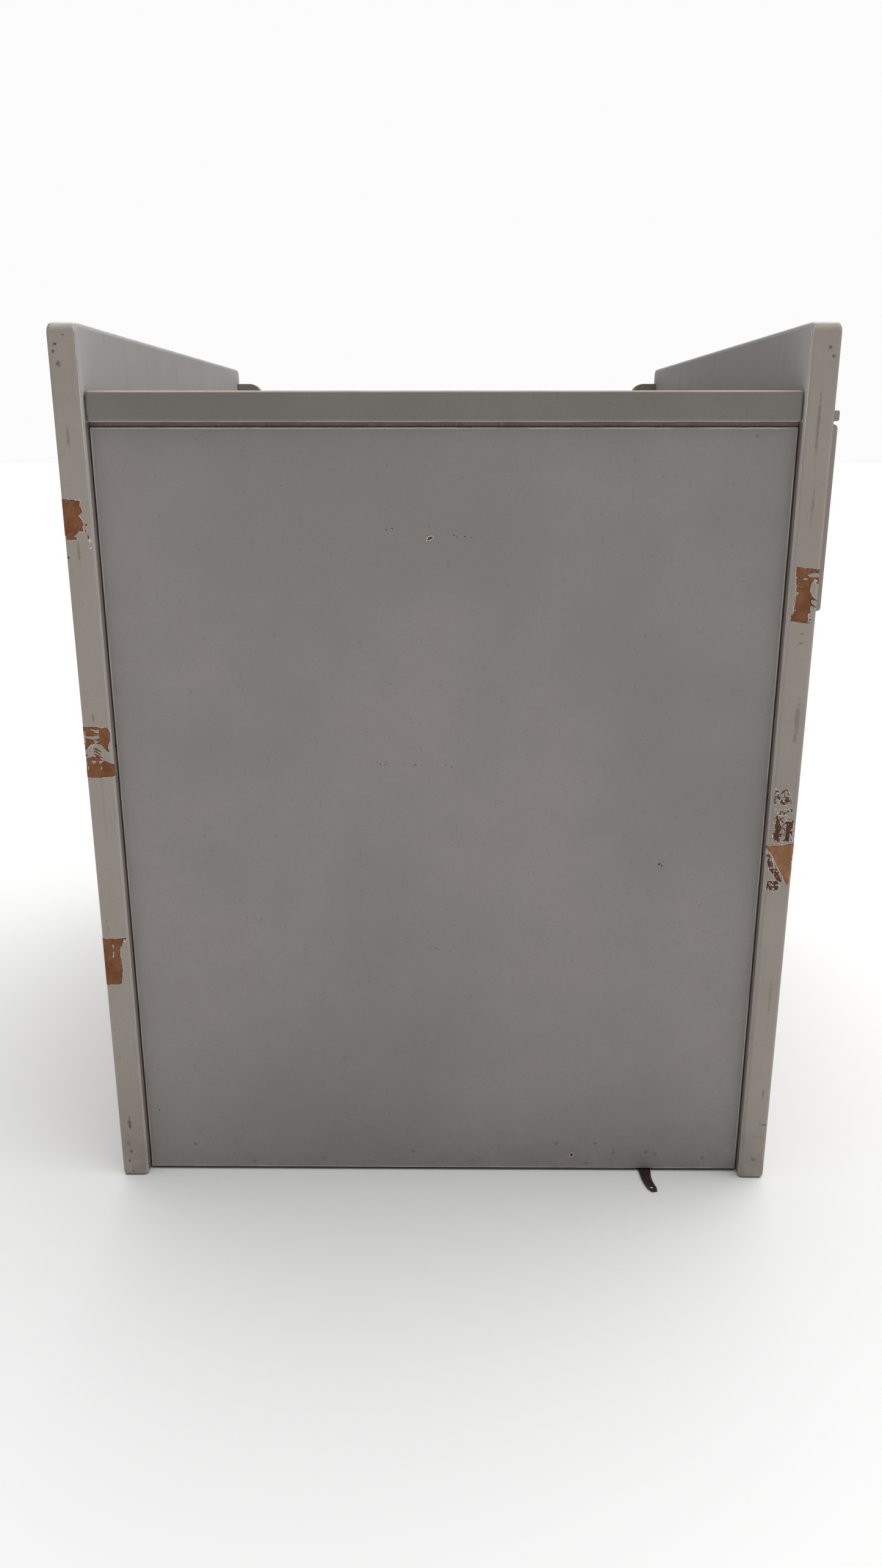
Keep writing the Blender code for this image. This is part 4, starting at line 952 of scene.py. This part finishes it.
dress(bare_wood("beech_along", (160.0, 6.0, 160.0), *BEECH), "drawer_side_left", "drawer_side_right")
nickel = metal("satin_nickel", (0.66, 0.63, 0.58), 0.26, (500.0, 500.0, 60.0), spots=0.08)
dull = {"spots": 0.12, "spot_colour": (0.30, 0.27, 0.22)}
zinc = metal("zinc_plate", (0.56, 0.57, 0.58), 0.38, (160.0, 160.0, 160.0), **dull)
dress(nickel, *[n for n in NODES if n.startswith(("shelf_pin_", "hinge_left_", "hinge_right_", "flap_hinge_"))])
dress(nickel, "drawer_handle", "door_left_handle", "door_right_handle", "lock_housing", "lock_plug")
dress(zinc, "hinge_left_pin", "hinge_right_pin", "flap_hinge_pin", "door_left_strike", "door_right_strike")
dress(zinc, "lock_strike", "lock_cam", "stay_arm", "stay_bracket", "stay_rivet", "lug_screw")
brown = metal("brown_steel", (0.115, 0.085, 0.078), 0.48, (300.0, 300.0, 300.0), spots=0.25)
dress(brown, "floor_lug")
# Paler brown steel: a painted highlight for the lug's bead.
brown_painted_highlight = metal("brown_steel_painted_highlight", (0.42, 0.33, 0.31), 0.40, (300.0, 300.0, 300.0), spots=0.20)
lug_strap(brown, brown_painted_highlight)
all_screws(zinc)
dress(plastic("white_plastic", (0.72, 0.71, 0.67), 0.42), "magnet_catch_left", "magnet_catch_right")
dress(plastic("dark_plastic", (0.055, 0.055, 0.06), 0.45), "runner_left", "runner_right", "stay_knob")
dress(plastic("black_rubber", (0.03, 0.03, 0.03), 0.75), "flap_bumper_back", "flap_bumper_front")

soften(*NODES)

torn_left_upper()
torn_left_middle()
torn_left_lower()
torn_right_upper()
torn_right_marbled()
torn_right_lower()

chips("back_panel_chip_rims", PAPER, 1.6, 0.05)
chips("back_panel_chips", BOARD_EDGE, 0.0, 0.10)
dark_fleck = bare_board("dark_fleck", (0.10, 0.055, 0.035), (0.04, 0.028, 0.022))
specks(
    "back_panel_specks",
    dark_fleck,
    [
        ((-0.056, 0.640), (-0.044, 0.639), 4, 0.0022),
        ((0.006, 0.634), (0.023, 0.631), 7, 0.0026),
        ((-0.060, 0.431), (-0.050, 0.430), 5, 0.0024),
        ((-0.040, 0.429), (0.008, 0.4265), 10, 0.0020),
        ((-0.0351, 0.2515), (-0.028, 0.250), 3, 0.0022),
        ((-0.015, 0.246), (0.010, 0.244), 7, 0.0020),
        ((-0.006, 0.141), (-0.006, 0.1405), 1, 0.0024),
        ((-0.284, 0.0695), (-0.283, 0.067), 1, 0.0040),
        ((-0.2965, 0.445), (-0.296, 0.445), 2, 0.0040),
        ((0.195, 0.335), (0.210, 0.328), 4, 0.0028),
        ((0.235, 0.300), (0.240, 0.294), 3, 0.0022),
    ],
    5,
)
